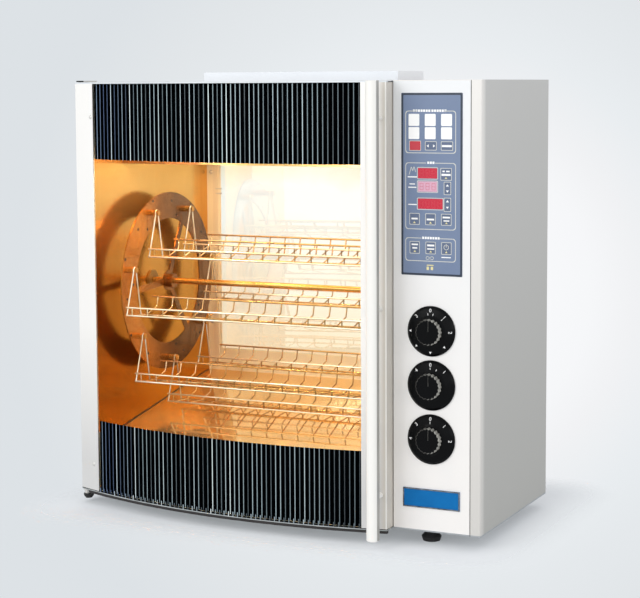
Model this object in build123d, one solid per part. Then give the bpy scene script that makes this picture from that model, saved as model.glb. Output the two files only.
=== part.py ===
from build123d import *
import os
from math import asin, cos, hypot, pi, radians, sin, sqrt

# Rotisserie convection oven with a bowed glass door on the left and a control column on the right.
# Millimetres, +Z up. The origin is the centre of the footprint, on the surface the feet stand on.
# -Y is the front, where the door and the controls are, and +X is the column's side.

# Overall body
body_width = 984.0
body_height = 930.0
foot_height = 30.0
sheet = 1.5
base_sheet = 3.0
seam = 1.0
slip = 0.3

# Control column
column_width = 192.0
column_depth = 424.0
flange_width = 23.0
bend_radius = 4.0

# Chamber
chamber_recess = 54.0
chamber_depth = 521.0
left_wall = 34.0
right_wall = 38.0
floor_front_rise = 114.0
floor_back_rise = 199.0
gutter_width = 30.0
gutter_drop = 9.0
ceiling_drop = 70.0
apron_rise = 112.0
header_drop = 152.0
baffle_drop = 118.0
baffle_set_back = 118.0
baffle_lip = 18.0
baffle_rear_gap = 26.0

# Door
door_left_proud = 18.0
door_right_proud = 84.0
door_bow = 60.0
door_back_gap = 4.0
door_end_gap = 2.0
door_glass_thick = 6.0
door_lift = 0.6
door_rim = 3.5
left_stile_width = 59.0
right_stile_width = 53.0
glass_left_inset = 22.0
seal_drop = 6.0
seal_inset = 24.0
gasket_width = 12.0
inner_frame_margin = 20.0

# Hinge
hinge_inset = 9.0
hinge_from_chamber = 13.0
hinge_pin_radius = 4.0
hinge_clearance = 0.08
hinge_pin_length = 24.0
hinge_plate = 3.0
hinge_plate_reach = 14.0
hinge_plate_stub = 5.5
pivot_cap_radius = 12.0
pivot_cap_shift = 4.0
pivot_cap_height = 10.0
pivot_cap_drop = 11.0
bush_radius = 6.0
bush_height = 12.0

# Handle
handle_width = 24.0
handle_depth = 20.0
handle_gap = 30.0
handle_from_end = 14.0
handle_hang = 13.0
handle_post_radius = 6.0
handle_post_pitch = 389.0

# Rear window
rear_bow = 45.0
rear_glass_thick = 5.0
rear_frame_proud = 8.0
window_side_margin = 73.0
window_sill_rise = 256.0
window_head_drop = 124.0
window_overlap = 30.0
rear_cap_height = 14.0
rear_strip_width = 26.0

# Rotor
rotor_headroom = 99.0
rotor_front_room = 21.4
rotor_back_room = 9.4
rotor_floor_room = 10.2
ring_wall_gap = 43.5
ring_rim = 26.0
ring_face = 62.0
ring_thick = 3.0
spoke_count = 3
spoke_width = 15.0
spoke_phase = 26.0
hub_radius = 24.0
hub_length = 16.0
shaft_radius = 7.0
bearing_radius = 16.0
bearing_flange_radius = 24.0
bearing_flange_thick = 4.0
running_clearance = 0.06

# Baskets
basket_room = 160.0
basket_phase = -25.3
pin_radius = 4.0
pin_hex_radius = 7.0
pin_collar_length = 15.0
pin_end_length = 4.0
eye_radius = 8.0
wire = 3.2
basket_front = 37.0
basket_rim_drop = 82.0
basket_front_drop = 100.0
basket_keel = 24.0
basket_keel_drop = 105.0
basket_back = 72.0
basket_back_drop = 91.0
basket_rail_back = 78.0
basket_rail_drop = 69.0
cross_wire_count = 15
cross_wire_inset = 14.0

# Controls
keypad_width = 133.0
keypad_height = 371.0
keypad_drop = 26.0
keypad_thick = 0.8
keypad_corner = 2.0
display_height = 21.0
display_steps = (198.0, 171.0, 136.0)
display_widths = (42.0, 42.0, 54.0)
display_left = 30.0
board_gap = 5.0
board_thick = 1.6
relay_block = (60.0, 16.0, 40.0)
relay_rise = 20.0
knob_pitch = 112.0
knob_set_down = 4.5
knob_radius = 52.0
knob_skirt = 6.0
knob_grip_radius = 27.0
knob_grip_height = 24.0
knob_flutes = 20
knob_flute_depth = 2.2
knob_grip_bevel = 1.2
knob_shaft_radius = 3.0
knob_gap = 0.5
control_body = 50.0
control_body_depth = 42.0
badge_width = 125.0
badge_height = 40.0
badge_rise = 50.0
badge_thick = 2.0
badge_rim = 3.0

# Hot air, light and vent
fan_radius = 88.0
fan_blade_height = 46.0
fan_blade_length = 26.0
fan_blade_count = 14
fan_lift = 34.0
fan_plate = 2.0
fan_hub_radius = 14.0
fan_shaft_radius = 4.0
fan_motor_radius = 45.0
fan_motor_height = 52.0
fan_motor_bevel = 5.0
fan_motor_foot = 56.0
intake_radius = 62.0
intake_bars = 6
heater_radius = 4.0
heater_drop = 68.0
heater_slot = 8.0
heater_legs = ((128.0, 152.0), (352.0, 388.0), (424.0, 460.0))
heater_end_gap = 14.0
heater_tail = 44.0
hanger_thick = 2.0
hanger_width = 12.0
hanger_set_in = 22.0
hanger_inset = 60.0
bracket_inset = 110.0
bracket_half = 10.0
bracket_leg = 8.0
lamp_radius = 22.0
lamp_drop = 46.0
lamp_glass = 2.5
lamp_socket_radius = 17.0
lamp_socket_height = 42.0
bulb_radius = 11.0
bulb_drop = 20.0
lamp_depth = 46.0
lamp_insets = (150.0, 600.0)
duct_radius = 30.0
duct_depth = 76.0
cover_left = 318.0
cover_width = 459.0
cover_depth = 140.0
cover_front = 6.0
cover_height = 19.0
probe_radius = 3.0
probe_length = 70.0
probe_depth = 346.0
probe_drop = 30.0

# Drive motor, gland and feet
gearbox = (62.0, 96.0, 84.0)
motor_radius = 34.0
motor_length = 92.0
gland_radius = 13.0
gland_bore = 6.0
gland_length = 18.0
gland_rise = 80.0
louvre_count = 8
louvre_pitch = 22.0
louvre_slot = 5.0
louvre_width = 120.0
louvre_rise = 560.0
foot_radius = 21.0
foot_heel = 0.86
foot_waist = 0.70
foot_pad = 0.30
foot_shoulder = 0.55
foot_inset_left = 32.0
foot_inset_right = 127.0
foot_front_chamber = 95.0
foot_front_column = 50.0
foot_back_chamber = 34.0
foot_back_column = 44.0
stud_radius = 4.0

# Heights above the feet
z_base = foot_height
z_top = foot_height + body_height

# Widths
x_left = -body_width / 2
x_right = body_width / 2
x_column = x_right - column_width
x_wall_left = x_left + left_wall
x_wall_right = x_column - right_wall
x_chamber = (x_wall_left + x_wall_right) / 2
chamber_width = x_wall_right - x_wall_left

# Depths: the front reach ends at the handle's face and the rear reach at the rear glass
door_width = x_column - door_end_gap - x_left


def arc_from_chord(xa, ya, xb, yb, bow, side):
    """Centre and radius of the arc through two points that bows by bow towards -Y (side -1) or +Y."""
    chord = hypot(xb - xa, yb - ya)
    radius = (chord * chord / 4 + bow * bow) / (2 * bow)
    nx = side * -(yb - ya) / chord
    ny = side * (xb - xa) / chord
    reach = radius - bow
    return (xa + xb) / 2 - nx * reach, (ya + yb) / 2 - ny * reach, radius


def arc_y(arc, x, offset, side):
    """Y of the arc moved outwards by offset, at x."""
    cx, cy, radius = arc
    return cy + side * sqrt((radius + offset) ** 2 - (x - cx) ** 2)


# The door's arc is laid out from the chamber's front plane, taken as y = 0 here
local_door = arc_from_chord(x_left, -door_left_proud, x_left + door_width, -door_right_proud, door_bow, -1)
handle_x = x_column - door_end_gap - handle_from_end
handle_face = -arc_y(local_door, handle_x, sheet, -1) + handle_gap + handle_depth
front_reach = max(handle_face, -(local_door[1] - local_door[2]) + sheet) - chamber_recess
rear_reach = chamber_recess + chamber_depth + sheet + rear_frame_proud + rear_bow
y_face = -(rear_reach - front_reach) / 2
y_chamber = y_face + chamber_recess
y_back = y_chamber + chamber_depth
y_column_back = y_face + column_depth
y_door_back = y_chamber - door_back_gap
door_arc = (local_door[0], local_door[1] + y_chamber, local_door[2])
x_door_right = x_left + door_width
z_door_low = z_base + door_lift
z_door_high = z_top - door_lift

# Rear window arc
y_rear_frame = y_back + sheet + rear_frame_proud
rear_arc = arc_from_chord(x_left, y_rear_frame, x_column, y_rear_frame, rear_bow, 1)

# Levels inside the chamber
z_ceiling = z_top - ceiling_drop
z_baffle = z_ceiling - baffle_drop
z_heater = z_ceiling - heater_drop
z_header = z_top - header_drop
z_apron = z_base + apron_rise
z_sill = z_base + window_sill_rise
z_head = z_top - window_head_drop
z_probe = z_baffle - probe_drop
floor_slope = (floor_back_rise - floor_front_rise) / (chamber_depth - gutter_width)

# Control face
z_keypad = z_top - keypad_drop - keypad_height
z_displays = [z_keypad + step for step in display_steps]
z_knob_mid = (z_keypad + z_base + badge_rise + badge_height) / 2 - knob_set_down
z_knobs = [z_knob_mid + step * knob_pitch for step in (1, 0, -1)]

# Rotor: the pin circle is as large as the chamber's depth and height let the hanging baskets turn
basket_front_reach = basket_front + wire / 2
basket_back_reach = basket_rail_back + wire / 2
basket_drop_reach = basket_keel_drop + wire / 2
depth_room = chamber_depth - rotor_front_room - rotor_back_room
depth_radius = (depth_room - basket_front_reach - basket_back_reach) / 2
keel_place = rotor_front_room + basket_front_reach + depth_radius + basket_keel
z_keel_floor = z_base + floor_front_rise + floor_slope * (keel_place - gutter_width)
height_radius = (z_baffle - rotor_headroom - z_keel_floor - basket_drop_reach - rotor_floor_room) / 2
pin_circle_radius = min(depth_radius, height_radius)
ring_radius = pin_circle_radius + ring_rim
ring_inner_radius = ring_radius - ring_face
basket_count = int(pi / asin(basket_room / 2 / pin_circle_radius))
y_rotor = y_chamber + rotor_front_room + basket_front_reach + depth_radius
z_rotor = z_baffle - rotor_headroom - pin_circle_radius
x_ring_left = x_wall_left + ring_wall_gap
x_ring_right = x_wall_right - ring_wall_gap - ring_thick
x_basket_left = x_ring_left + ring_thick + pin_collar_length
x_basket_right = x_ring_right - pin_collar_length

# Hinge
x_hinge = x_left + hinge_inset
y_hinge = y_chamber - hinge_from_chamber

# Fan
x_fan = x_chamber
y_fan = y_rotor

os.makedirs("parts", exist_ok=True)


def save(shape, node):
    """Write one sub-part."""
    export_step(shape, "parts/" + node + ".step")


def block(x0, x1, y0, y1, z0, z1):
    """A box between two corners."""
    return Pos((x0 + x1) / 2, (y0 + y1) / 2, (z0 + z1) / 2) * Box(x1 - x0, y1 - y0, z1 - z0)


def rod_x(x0, x1, y, z, radius):
    """A cylinder along X."""
    return Pos((x0 + x1) / 2, y, z) * Rot(0, 90, 0) * Cylinder(radius, x1 - x0)


def rod_y(x, y0, y1, z, radius):
    """A cylinder along Y."""
    return Pos(x, (y0 + y1) / 2, z) * Rot(90, 0, 0) * Cylinder(radius, y1 - y0)


def rod_z(x, y, z0, z1, radius):
    """A cylinder along Z."""
    return Pos(x, y, (z0 + z1) / 2) * Cylinder(radius, z1 - z0)


def arc_band(arc, side, xa, xb, outer, inner, z0, z1):
    """A curved wall that follows arc between two x values, from offset inner to offset outer."""
    xm = (xa + xb) / 2
    front = ThreePointArc(*[(x, arc_y(arc, x, outer, side)) for x in (xa, xm, xb)])
    back = ThreePointArc(*[(x, arc_y(arc, x, inner, side)) for x in (xb, xm, xa)])
    outline = front + Line(front @ 1, back @ 0) + back + Line(back @ 1, front @ 0)
    return Pos(0, 0, z0) * extrude(make_face(outline), z1 - z0)


def crescent(arc, side, xa, xb, y_flat, offset, z0, z1):
    """A flat plate between arc and the straight line y = y_flat."""
    xm = (xa + xb) / 2
    bow = ThreePointArc(*[(x, arc_y(arc, x, offset, side)) for x in (xa, xm, xb)])
    rest = Polyline(bow @ 1, (xb, y_flat), (xa, y_flat), bow @ 0)
    return Pos(0, 0, z0) * extrude(make_face(bow + rest), z1 - z0)


def bent_wire(points, x, width):
    """A square wire that follows points in a YZ plane, centred on x."""
    path = Plane.YZ * trace(Polyline(*points), width)
    return Pos(x - width / 2, 0, 0) * extrude(path, width, dir=(1, 0, 0))


# Base and feet


def base_plate():
    """L-shaped bottom sheet that carries the chamber and the column."""
    chamber = block(x_left, x_column, y_chamber, y_back + sheet, z_base, z_base + base_sheet)
    column = block(x_column, x_right, y_face, y_column_back, z_base, z_base + base_sheet)
    plate = chamber + column
    for x, y in foot_places():
        plate -= rod_z(x, y, z_base - 1, z_base + base_sheet + 1, stud_radius + slip)
    return plate


def turned(points):
    """A solid of revolution about Z from a profile of radius and height pairs."""
    return revolve(make_face(Plane.XZ * Polyline(*points, points[0])), Axis.Z)


def foot_places():
    """Centres of the four feet."""
    return (
        (x_left + foot_inset_left, y_chamber + foot_front_chamber),
        (x_right - foot_inset_right, y_face + foot_front_column),
        (x_left + foot_inset_left, y_back - foot_back_chamber),
        (x_right - foot_inset_right, y_column_back - foot_back_column),
    )


def feet():
    """Four rubber feet, each a wide pad under a narrower neck with its stud in the base plate."""
    solids = []
    heel, waist = foot_heel * foot_radius, foot_waist * foot_radius
    pad_top, shoulder = foot_pad * z_base, foot_shoulder * z_base
    foot = turned([
        (0, 0), (heel, 0), (foot_radius, pad_top), (waist, shoulder), (waist, z_base), (stud_radius, z_base),
        (stud_radius, z_base + base_sheet), (0, z_base + base_sheet),
    ])
    for x, y in foot_places():
        solids.append(Pos(x, y, 0) * foot)
    return Compound(children=solids)


# Outer skins


def left_side_panel():
    """Outer left skin with a rear return."""
    z0 = z_base + base_sheet
    skin = block(x_left, x_left + sheet, y_chamber + sheet, y_back, z0, z_top - sheet)
    lip = block(x_left, x_wall_left - sheet - slip, y_back - sheet, y_back, z0, z_top - sheet)
    return skin + lip


def chamber_front_frame():
    """Pressed front frame of the chamber: header, apron and two stiles around the opening."""
    z0 = z_base + base_sheet
    plate = block(x_left, x_column, y_chamber, y_chamber + sheet, z0, z_top - sheet)
    hole = block(x_wall_left, x_wall_right, y_chamber - 1, y_chamber + sheet + 1,
                 z_apron, z_header)
    lip = block(x_wall_left, x_wall_right, y_chamber, y_chamber + 4 * sheet,
                z_header, z_header + sheet)
    return plate - hole + lip


def back_panel():
    """Rear panel of the chamber with the window opening."""
    z0 = z_base + base_sheet
    plate = block(x_left, x_column, y_back, y_back + sheet, z0, z_top - sheet)
    hole = block(x_left + window_side_margin, x_column - window_side_margin, y_back - 1, y_back + sheet + 1,
                 z_sill, z_head)
    return plate - hole


def top_panel():
    """Top skin over chamber and column, with the vent opening under the raised cover."""
    chamber = block(x_left, x_column, y_chamber, y_back + sheet, z_top - sheet, z_top)
    column = block(x_column, x_right, y_face, y_column_back, z_top - sheet, z_top)
    vent = rod_z(x_chamber, y_chamber + duct_depth, z_top - sheet - 1, z_top + 1, duct_radius)
    return chamber + column - vent


def vent_cover():
    """Raised cover over the vent: a shallow tray upside down with slots in its rear wall."""
    x0 = x_left + cover_left
    y0 = y_chamber + cover_front
    cover = block(x0, x0 + cover_width, y0, y0 + cover_depth, z_top, z_top + cover_height)
    cover -= block(x0 + sheet, x0 + cover_width - sheet, y0 + sheet, y0 + cover_depth - sheet,
                   z_top - 1, z_top + cover_height - sheet)
    slot_pitch = cover_width / 12
    for i in range(1, 12):
        x = x0 + i * slot_pitch
        cover -= block(x - slot_pitch / 3, x + slot_pitch / 3, y0 + cover_depth - 2 * sheet,
                       y0 + cover_depth + 1, z_top + cover_height * 0.35, z_top + cover_height * 0.65)
    return cover


# Control column


def control_side_panel():
    """Right side skin, bent round the front corner into a narrow flange."""
    z0 = z_base
    x0 = x_right - flange_width
    outline = Polyline(
        (x0, y_face + sheet), (x0, y_face), (x_right, y_face), (x_right, y_column_back),
        (x_right - sheet, y_column_back), (x_right - sheet, y_face + sheet), (x0, y_face + sheet),
    )
    skin = Pos(0, 0, z0) * extrude(make_face(outline), body_height - sheet)
    outer = skin.edges().filter_by(Axis.Z).filter_by_position(Axis.X, x_right - 0.01, x_right + 0.01)
    front = outer.filter_by_position(Axis.Y, y_face - 0.01, y_face + 0.01)
    skin = fillet(front, bend_radius)
    return skin - block(x_left, x_right + 1, y_face - 1, y_column_back + 1, z0 - 1, z_base + base_sheet) + (
        block(x0, x_right - sheet - slip, y_face, y_face + sheet, z0 + base_sheet, z0 + base_sheet + sheet))


def fascia_centre():
    """Middle of the fascia in X."""
    return (x_column + x_right - flange_width) / 2


def control_fascia():
    """Front plate of the column with display windows and shaft holes, folded back beside the door."""
    z0 = z_base + base_sheet
    z1 = z_top - sheet
    plate = block(x_column, x_right - flange_width - seam, y_face, y_face + sheet, z0, z1)
    plate += block(x_column, x_column + sheet, y_face, y_chamber - slip, z0, z1)
    for z, width in zip(z_displays, display_widths):
        x0 = fascia_centre() - display_left
        plate -= block(x0, x0 + width, y_face - 1, y_face + sheet + 1,
                       z, z + display_height)
    for z in z_knobs:
        plate -= rod_y(fascia_centre(), y_face - 1, y_face + sheet + 1, z, knob_shaft_radius + 1)
    return plate


def column_partition():
    """Wall between chamber and column, running on to the back of the chamber."""
    z0 = z_base + base_sheet
    wall = block(x_column, x_column + sheet, y_chamber, y_back, z0, z_top - sheet)
    wall -= rod_x(x_column - 1, x_column + sheet + 1, y_rotor, z_rotor, bearing_radius + slip)
    return wall - heater_slots(x_column - 1, x_column + sheet + 1)


def control_back_panel():
    """Rear cover of the column with cooling louvres and the hole for the cable gland."""
    z0 = z_base + base_sheet
    panel = block(x_column + sheet + slip, x_right - sheet - slip, y_column_back - sheet, y_column_back,
                  z0, z_top - sheet)
    xc = (x_column + x_right) / 2
    for i in range(louvre_count):
        z = z_base + louvre_rise + i * louvre_pitch
        panel -= block(xc - louvre_width / 2, xc + louvre_width / 2, y_column_back - 2 * sheet,
                       y_column_back + 1, z, z + louvre_slot)
    panel -= rod_y(xc, y_column_back - 2 * sheet, y_column_back + 1, z_base + gland_rise, gland_radius * 0.7)
    return panel


def cable_gland():
    """Gland for the supply lead, clamped in the column's rear cover."""
    xc = (x_column + x_right) / 2
    z = z_base + gland_rise
    neck = rod_y(xc, y_column_back - sheet - 8, y_column_back, z, gland_radius * 0.7 - running_clearance)
    head = extrude(RegularPolygon(gland_radius, 6), gland_length)
    head = Pos(xc, y_column_back, z) * Rot(-90, 0, 0) * head
    nut = Pos(xc, y_column_back - sheet - 5, z) * Rot(-90, 0, 0) * extrude(RegularPolygon(gland_radius, 6), 5)
    body = neck + head + nut
    return body - rod_y(xc, y_column_back - sheet - 9, y_column_back + gland_length + 1, z, gland_bore)


def keypad_overlay():
    """Membrane keypad foil with its three display windows."""
    xc = fascia_centre()
    z0 = z_keypad
    foil = block(xc - keypad_width / 2, xc + keypad_width / 2, y_face - keypad_thick, y_face,
                 z0, z0 + keypad_height)
    foil = fillet(foil.edges().filter_by(Axis.Y), keypad_corner)
    for z, width in zip(z_displays, display_widths):
        x0 = xc - display_left
        foil -= block(x0, x0 + width, y_face - keypad_thick - 1, y_face + 1,
                      z, z + display_height)
    return foil


def display_lenses():
    """Three clear red windows of the numeric displays."""
    solids = []
    for z, width in zip(z_displays, display_widths):
        x0 = fascia_centre() - display_left
        solids.append(block(x0 + 0.1, x0 + width - 0.1, y_face - keypad_thick * 0.8, y_face + sheet,
                            z + 0.1, z + display_height - 0.1))
    return Compound(children=solids)


def control_board():
    """Circuit board behind the keypad, with its display modules and four standoffs."""
    xc = fascia_centre()
    y0 = y_face + sheet + board_gap
    z0 = z_keypad
    board = block(xc - keypad_width / 2 + 6, xc + keypad_width / 2 - 6, y0, y0 + board_thick,
                  z0 + 8, z0 + keypad_height - 8)
    for z, width in zip(z_displays, display_widths):
        x0 = xc - display_left
        board += block(x0 - 1, x0 + width + 1, y_face + sheet, y0, z - 1, z + display_height + 1)
    for sx in (-1, 1):
        for z in (z0 + 16, z0 + keypad_height - 16):
            board += rod_y(xc + sx * (keypad_width / 2 - 14), y_face + sheet, y0, z, 3.0)
    wide, deep, tall = relay_block
    relays = block(xc - wide / 2, xc + wide / 2, y0 + board_thick, y0 + board_thick + deep,
                   z0 + relay_rise, z0 + relay_rise + tall)
    return board + relays


def badge_plate():
    """Bare badge plate with a raised rim."""
    xc = fascia_centre()
    z0 = z_base + badge_rise
    half = badge_width / 2
    inner = half - badge_rim
    plate = block(xc - half, xc + half, y_face - badge_thick, y_face, z0, z0 + badge_height)
    field = block(xc - inner, xc + inner, y_face - badge_thick - 1, y_face - badge_thick / 2, z0 + badge_rim,
                  z0 + badge_height - badge_rim)
    return plate - field


def knob(z):
    """Skirted dial knob with a ridged grip, a pointer rib and its spindle."""
    xc = fascia_centre()
    y0 = y_face - knob_gap
    cap = turned([
        (0, 0), (knob_radius, 0), (knob_radius, knob_skirt * 0.35), (knob_radius - 5, knob_skirt),
        (knob_grip_radius + 6, knob_skirt + 2), (knob_grip_radius + 1, knob_skirt + 5), (0, knob_skirt + 5),
    ])
    star = []
    for i in range(2 * knob_flutes):
        a = pi * i / knob_flutes
        r = knob_grip_radius - (i % 2) * knob_flute_depth
        star.append((r * cos(a), r * sin(a)))
    grip = extrude(make_face(Polyline(*star, star[0])), knob_grip_height - knob_skirt - 2)
    grip = chamfer(grip.faces().sort_by(Axis.Z)[-1].edges(), knob_grip_bevel)
    cap += Pos(0, 0, knob_skirt + 2) * grip
    cap += Pos(0, knob_grip_radius / 2, knob_grip_height - 2) * Box(4, knob_grip_radius - 4, 6)
    cap = Pos(xc, y0, z) * Rot(90, 0, 0) * cap
    return cap + rod_y(xc, y0 - 2, y_face + sheet + control_body_depth * 0.4, z, knob_shaft_radius)


def rotary_body(z, width, depth):
    """Body of a rotary control behind the fascia, bored for the knob's spindle."""
    xc = fascia_centre()
    y0 = y_face + sheet
    body = block(xc - width / 2, xc + width / 2, y0, y0 + depth, z - width / 2, z + width / 2)
    body = chamfer(body.edges().filter_by(Axis.Y), 4)
    bore = rod_y(xc, y0 - 1, y0 + control_body_depth * 0.4 + 1, z, knob_shaft_radius + running_clearance)
    tabs = block(xc - width / 4, xc + width / 4, y0 + depth, y0 + depth + 9, z + width / 4, z + width / 4 + 1)
    return body - bore + tabs


# Chamber


def left_liner():
    """Polished left wall of the chamber, pierced for the left bearing."""
    wall = block(x_wall_left - sheet, x_wall_left, y_chamber + sheet, y_back, z_base + base_sheet,
                 z_ceiling + sheet)
    return wall - rod_x(x_wall_left - sheet - 1, x_wall_left + 1, y_rotor, z_rotor, bearing_radius + slip)


def right_liner():
    """Polished right wall of the chamber, pierced for the drive shaft, the heaters and the probe."""
    x0, x1 = x_wall_right - 1, x_wall_right + sheet + 1
    wall = block(x_wall_right, x_wall_right + sheet, y_chamber + sheet, y_back, z_base + base_sheet,
                 z_ceiling + sheet)
    wall -= rod_x(x0, x1, y_rotor, z_rotor, bearing_radius + slip)
    wall -= rod_x(x0, x1, y_chamber + probe_depth, z_probe, probe_radius + slip)
    return wall - heater_slots(x0, x1)


def cavity_floor():
    """Sloping floor pan that drains to a gutter along the front."""
    y0 = y_chamber + sheet
    zf = z_base + floor_front_rise
    zb = z_base + floor_back_rise
    y1 = y0 + gutter_width
    points = [
        (y0, zf - gutter_drop), (y0 + sheet, zf - gutter_drop), (y1, zf - gutter_drop), (y1 + sheet * 4, zf),
        (y_back, zb),
    ]
    low = [(y, z - sheet) for y, z in reversed(points)]
    lip = [(y0, zf + 2)]
    outline = lip + [(y0 + sheet, zf + 2)] + points[1:] + low + lip
    face = make_face(Plane.YZ * Polyline(*outline))
    return Pos(x_wall_left, 0, 0) * extrude(face, chamber_width, dir=(1, 0, 0))


def cavity_ceiling():
    """Ceiling of the chamber with its welded flue and holes for the fan shaft and the lamps."""
    plate = block(x_wall_left, x_wall_right, y_chamber + sheet, y_back, z_ceiling, z_ceiling + sheet)
    plate -= rod_z(x_fan, y_fan, z_ceiling - 1, z_ceiling + sheet + 1, fan_shaft_radius + 2)
    x, y = x_chamber, y_chamber + duct_depth
    plate += rod_z(x, y, z_ceiling, z_top, duct_radius - slip)
    plate -= rod_z(x, y, z_ceiling - 1, z_top + 1, duct_radius - slip - sheet)
    for inset in lamp_insets:
        plate -= rod_z(x_wall_left + inset, y_chamber + lamp_depth, z_ceiling - 1, z_ceiling + sheet + 1,
                       lamp_socket_radius + slip)
    return plate


def ceiling_baffle():
    """Air guide under the heaters, with a turned-up front lip, a fan intake grille and hangers."""
    y0 = y_chamber + baffle_set_back
    y1 = y_back - baffle_rear_gap
    plate = block(x_wall_left, x_wall_right, y0, y1, z_baffle, z_baffle + sheet)
    plate += block(x_wall_left, x_wall_right, y0, y0 + sheet, z_baffle, z_baffle + baffle_lip)
    plate -= rod_z(x_fan, y_fan, z_baffle - 1, z_baffle + sheet + 1, intake_radius)
    pitch = 2 * intake_radius / (intake_bars + 1)
    for i in range(1, intake_bars + 1):
        x = x_fan - intake_radius + i * pitch
        plate += block(x - 1, x + 1, y_fan - intake_radius, y_fan + intake_radius, z_baffle, z_baffle + sheet)
    for x in (x_wall_left + hanger_inset, x_wall_right - hanger_inset):
        for y in (y0 + hanger_set_in, y1 - 8):
            plate += Pos(x, y, (z_baffle + z_ceiling) / 2) * Box(hanger_width, hanger_thick, z_ceiling - z_baffle)
    return plate


def insulation():
    """Mineral wool behind the left wall, behind the right wall and on the ceiling."""
    z0 = z_base + base_sheet
    left = block(x_left + sheet, x_wall_left - sheet, y_chamber + sheet, y_back - sheet, z0, z_ceiling)
    half = bearing_flange_radius
    left -= block(x_left, x_wall_left, y_rotor - half, y_rotor + half, z_rotor - half, z_rotor + half)
    right = block(x_wall_right + sheet, x_column, y_chamber + sheet, y_back, z0, z_ceiling)
    right -= block(x_wall_right, x_column + 1, y_rotor - half, y_rotor + half, z_rotor - half, z_rotor + half)
    y = y_chamber + probe_depth
    half = probe_radius + slip
    right -= block(x_wall_right, x_column + 1, y - half, y + half, z_probe - half, z_probe + half)
    right -= heater_slots(x_wall_right, x_column + 1)
    return Compound(children=[left, right])


def heater_slots(x0, x1):
    """One rectangular passage through a side wall for both legs of each element."""
    slots = [
        block(x0, x1, y_chamber + near - heater_slot, y_chamber + far + heater_slot,
              z_heater - heater_slot, z_heater + heater_slot)
        for near, far in heater_legs
    ]
    return Part() + slots


def heating_elements():
    """Three hairpin elements that hang between the baffle and the ceiling."""
    solids = []
    z = z_heater
    x0 = x_wall_left + heater_end_gap
    x1 = x_wall_right + heater_tail
    for near, far in heater_legs:
        ya, yb = y_chamber + near, y_chamber + far
        turn = (yb - ya) / 2
        path = Line((x1, ya), (x0 + turn, ya))
        path += ThreePointArc((x0 + turn, ya), (x0, (ya + yb) / 2), (x0 + turn, yb))
        path += Line((x0 + turn, yb), (x1, yb))
        path = Pos(0, 0, z) * path
        section = Plane(origin=(x1, ya, z), z_dir=(-1, 0, 0)) * RegularPolygon(heater_radius, 8)
        solids.append(sweep(section, path=path))
    return Compound(children=solids)


def heater_brackets():
    """Two straps that hang from the ceiling and carry the elements."""
    solids = []
    z = z_heater
    half = hanger_thick / 2
    hole = heater_radius + slip
    y0 = y_chamber + heater_legs[0][0] - hole - bracket_leg
    y1 = y_chamber + heater_legs[-1][1] + hole + bracket_leg
    for x in (x_wall_left + bracket_inset, x_wall_right - bracket_inset):
        strap = block(x - half, x + half, y0, y1, z - bracket_half, z + bracket_half)
        strap += block(x - half, x + half, y0, y0 + bracket_leg, z, z_ceiling)
        strap += block(x - half, x + half, y1 - bracket_leg, y1, z, z_ceiling)
        for pair in heater_legs:
            for leg in pair:
                y = y_chamber + leg
                strap -= block(x - half - 1, x + half + 1, y - hole, y + hole, z - hole, z + hole)
        solids.append(strap)
    return Compound(children=solids)


def temperature_probe():
    """Sensor rod that reaches into the chamber through the right wall."""
    y = y_chamber + probe_depth
    z = z_probe
    rod = rod_x(x_wall_right - probe_length, x_column, y, z, probe_radius)
    return rod + rod_x(x_wall_right - 3, x_wall_right, y, z, probe_radius * 3)


# Lamps


def lamp_covers():
    """Two glass domes under the ceiling."""
    r, g, d = lamp_radius, lamp_glass, lamp_drop
    dome = turned([
        (r, 0), (r, -0.6 * d), (0.8 * r, -0.86 * d), (0.4 * r, -d), (0, -d), (0, g - d),
        (0.4 * r - g / 3, g - d), (0.8 * r - g, g - 0.86 * d), (r - g, g / 2 - 0.6 * d), (r - g, 0),
    ])
    return Compound(children=[
        Pos(x_wall_left + inset, y_chamber + lamp_depth, z_ceiling) * dome for inset in lamp_insets
    ])


def lamp_sockets():
    """Two lamp holders through the ceiling, each with its bulb."""
    r, b = lamp_socket_radius, bulb_radius
    holder = turned([
        (0, -bulb_drop - b), (0.5 * b, -bulb_drop - 0.87 * b), (0.87 * b, -bulb_drop - 0.5 * b),
        (b, -bulb_drop), (0.87 * b, 0.5 * b - bulb_drop), (0.6 * b, b - bulb_drop), (0.6 * b, -4), (r, -4), (r, sheet),
        (lamp_radius, sheet), (lamp_radius, 2 * sheet), (r, 2 * sheet), (r, lamp_socket_height),
        (0, lamp_socket_height),
    ])
    return Compound(children=[
        Pos(x_wall_left + inset, y_chamber + lamp_depth, z_ceiling) * holder for inset in lamp_insets
    ])


# Fan


def fan_wheel():
    """Centrifugal wheel on its motor shaft."""
    z0 = z_baffle + fan_lift
    wheel = rod_z(x_fan, y_fan, z0 + fan_blade_height, z0 + fan_blade_height + fan_plate, fan_radius)
    z_hub = z0 + fan_blade_height * 0.4
    wheel += rod_z(x_fan, y_fan, z_hub, z0 + fan_blade_height + fan_plate, fan_hub_radius)
    for i in range(fan_blade_count):
        blade = Pos(fan_radius - fan_blade_length / 2 - 2, 0, 0) * Rot(0, 0, 35) * Box(
            fan_blade_length, fan_plate, fan_blade_height + 1)
        turn = Rot(0, 0, 360 * i / fan_blade_count)
        wheel += Pos(x_fan, y_fan, z0 + fan_blade_height / 2) * turn * blade
    return wheel + rod_z(x_fan, y_fan, z0 + fan_blade_height, z_ceiling + sheet + fan_motor_height / 2,
                         fan_shaft_radius)


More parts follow.
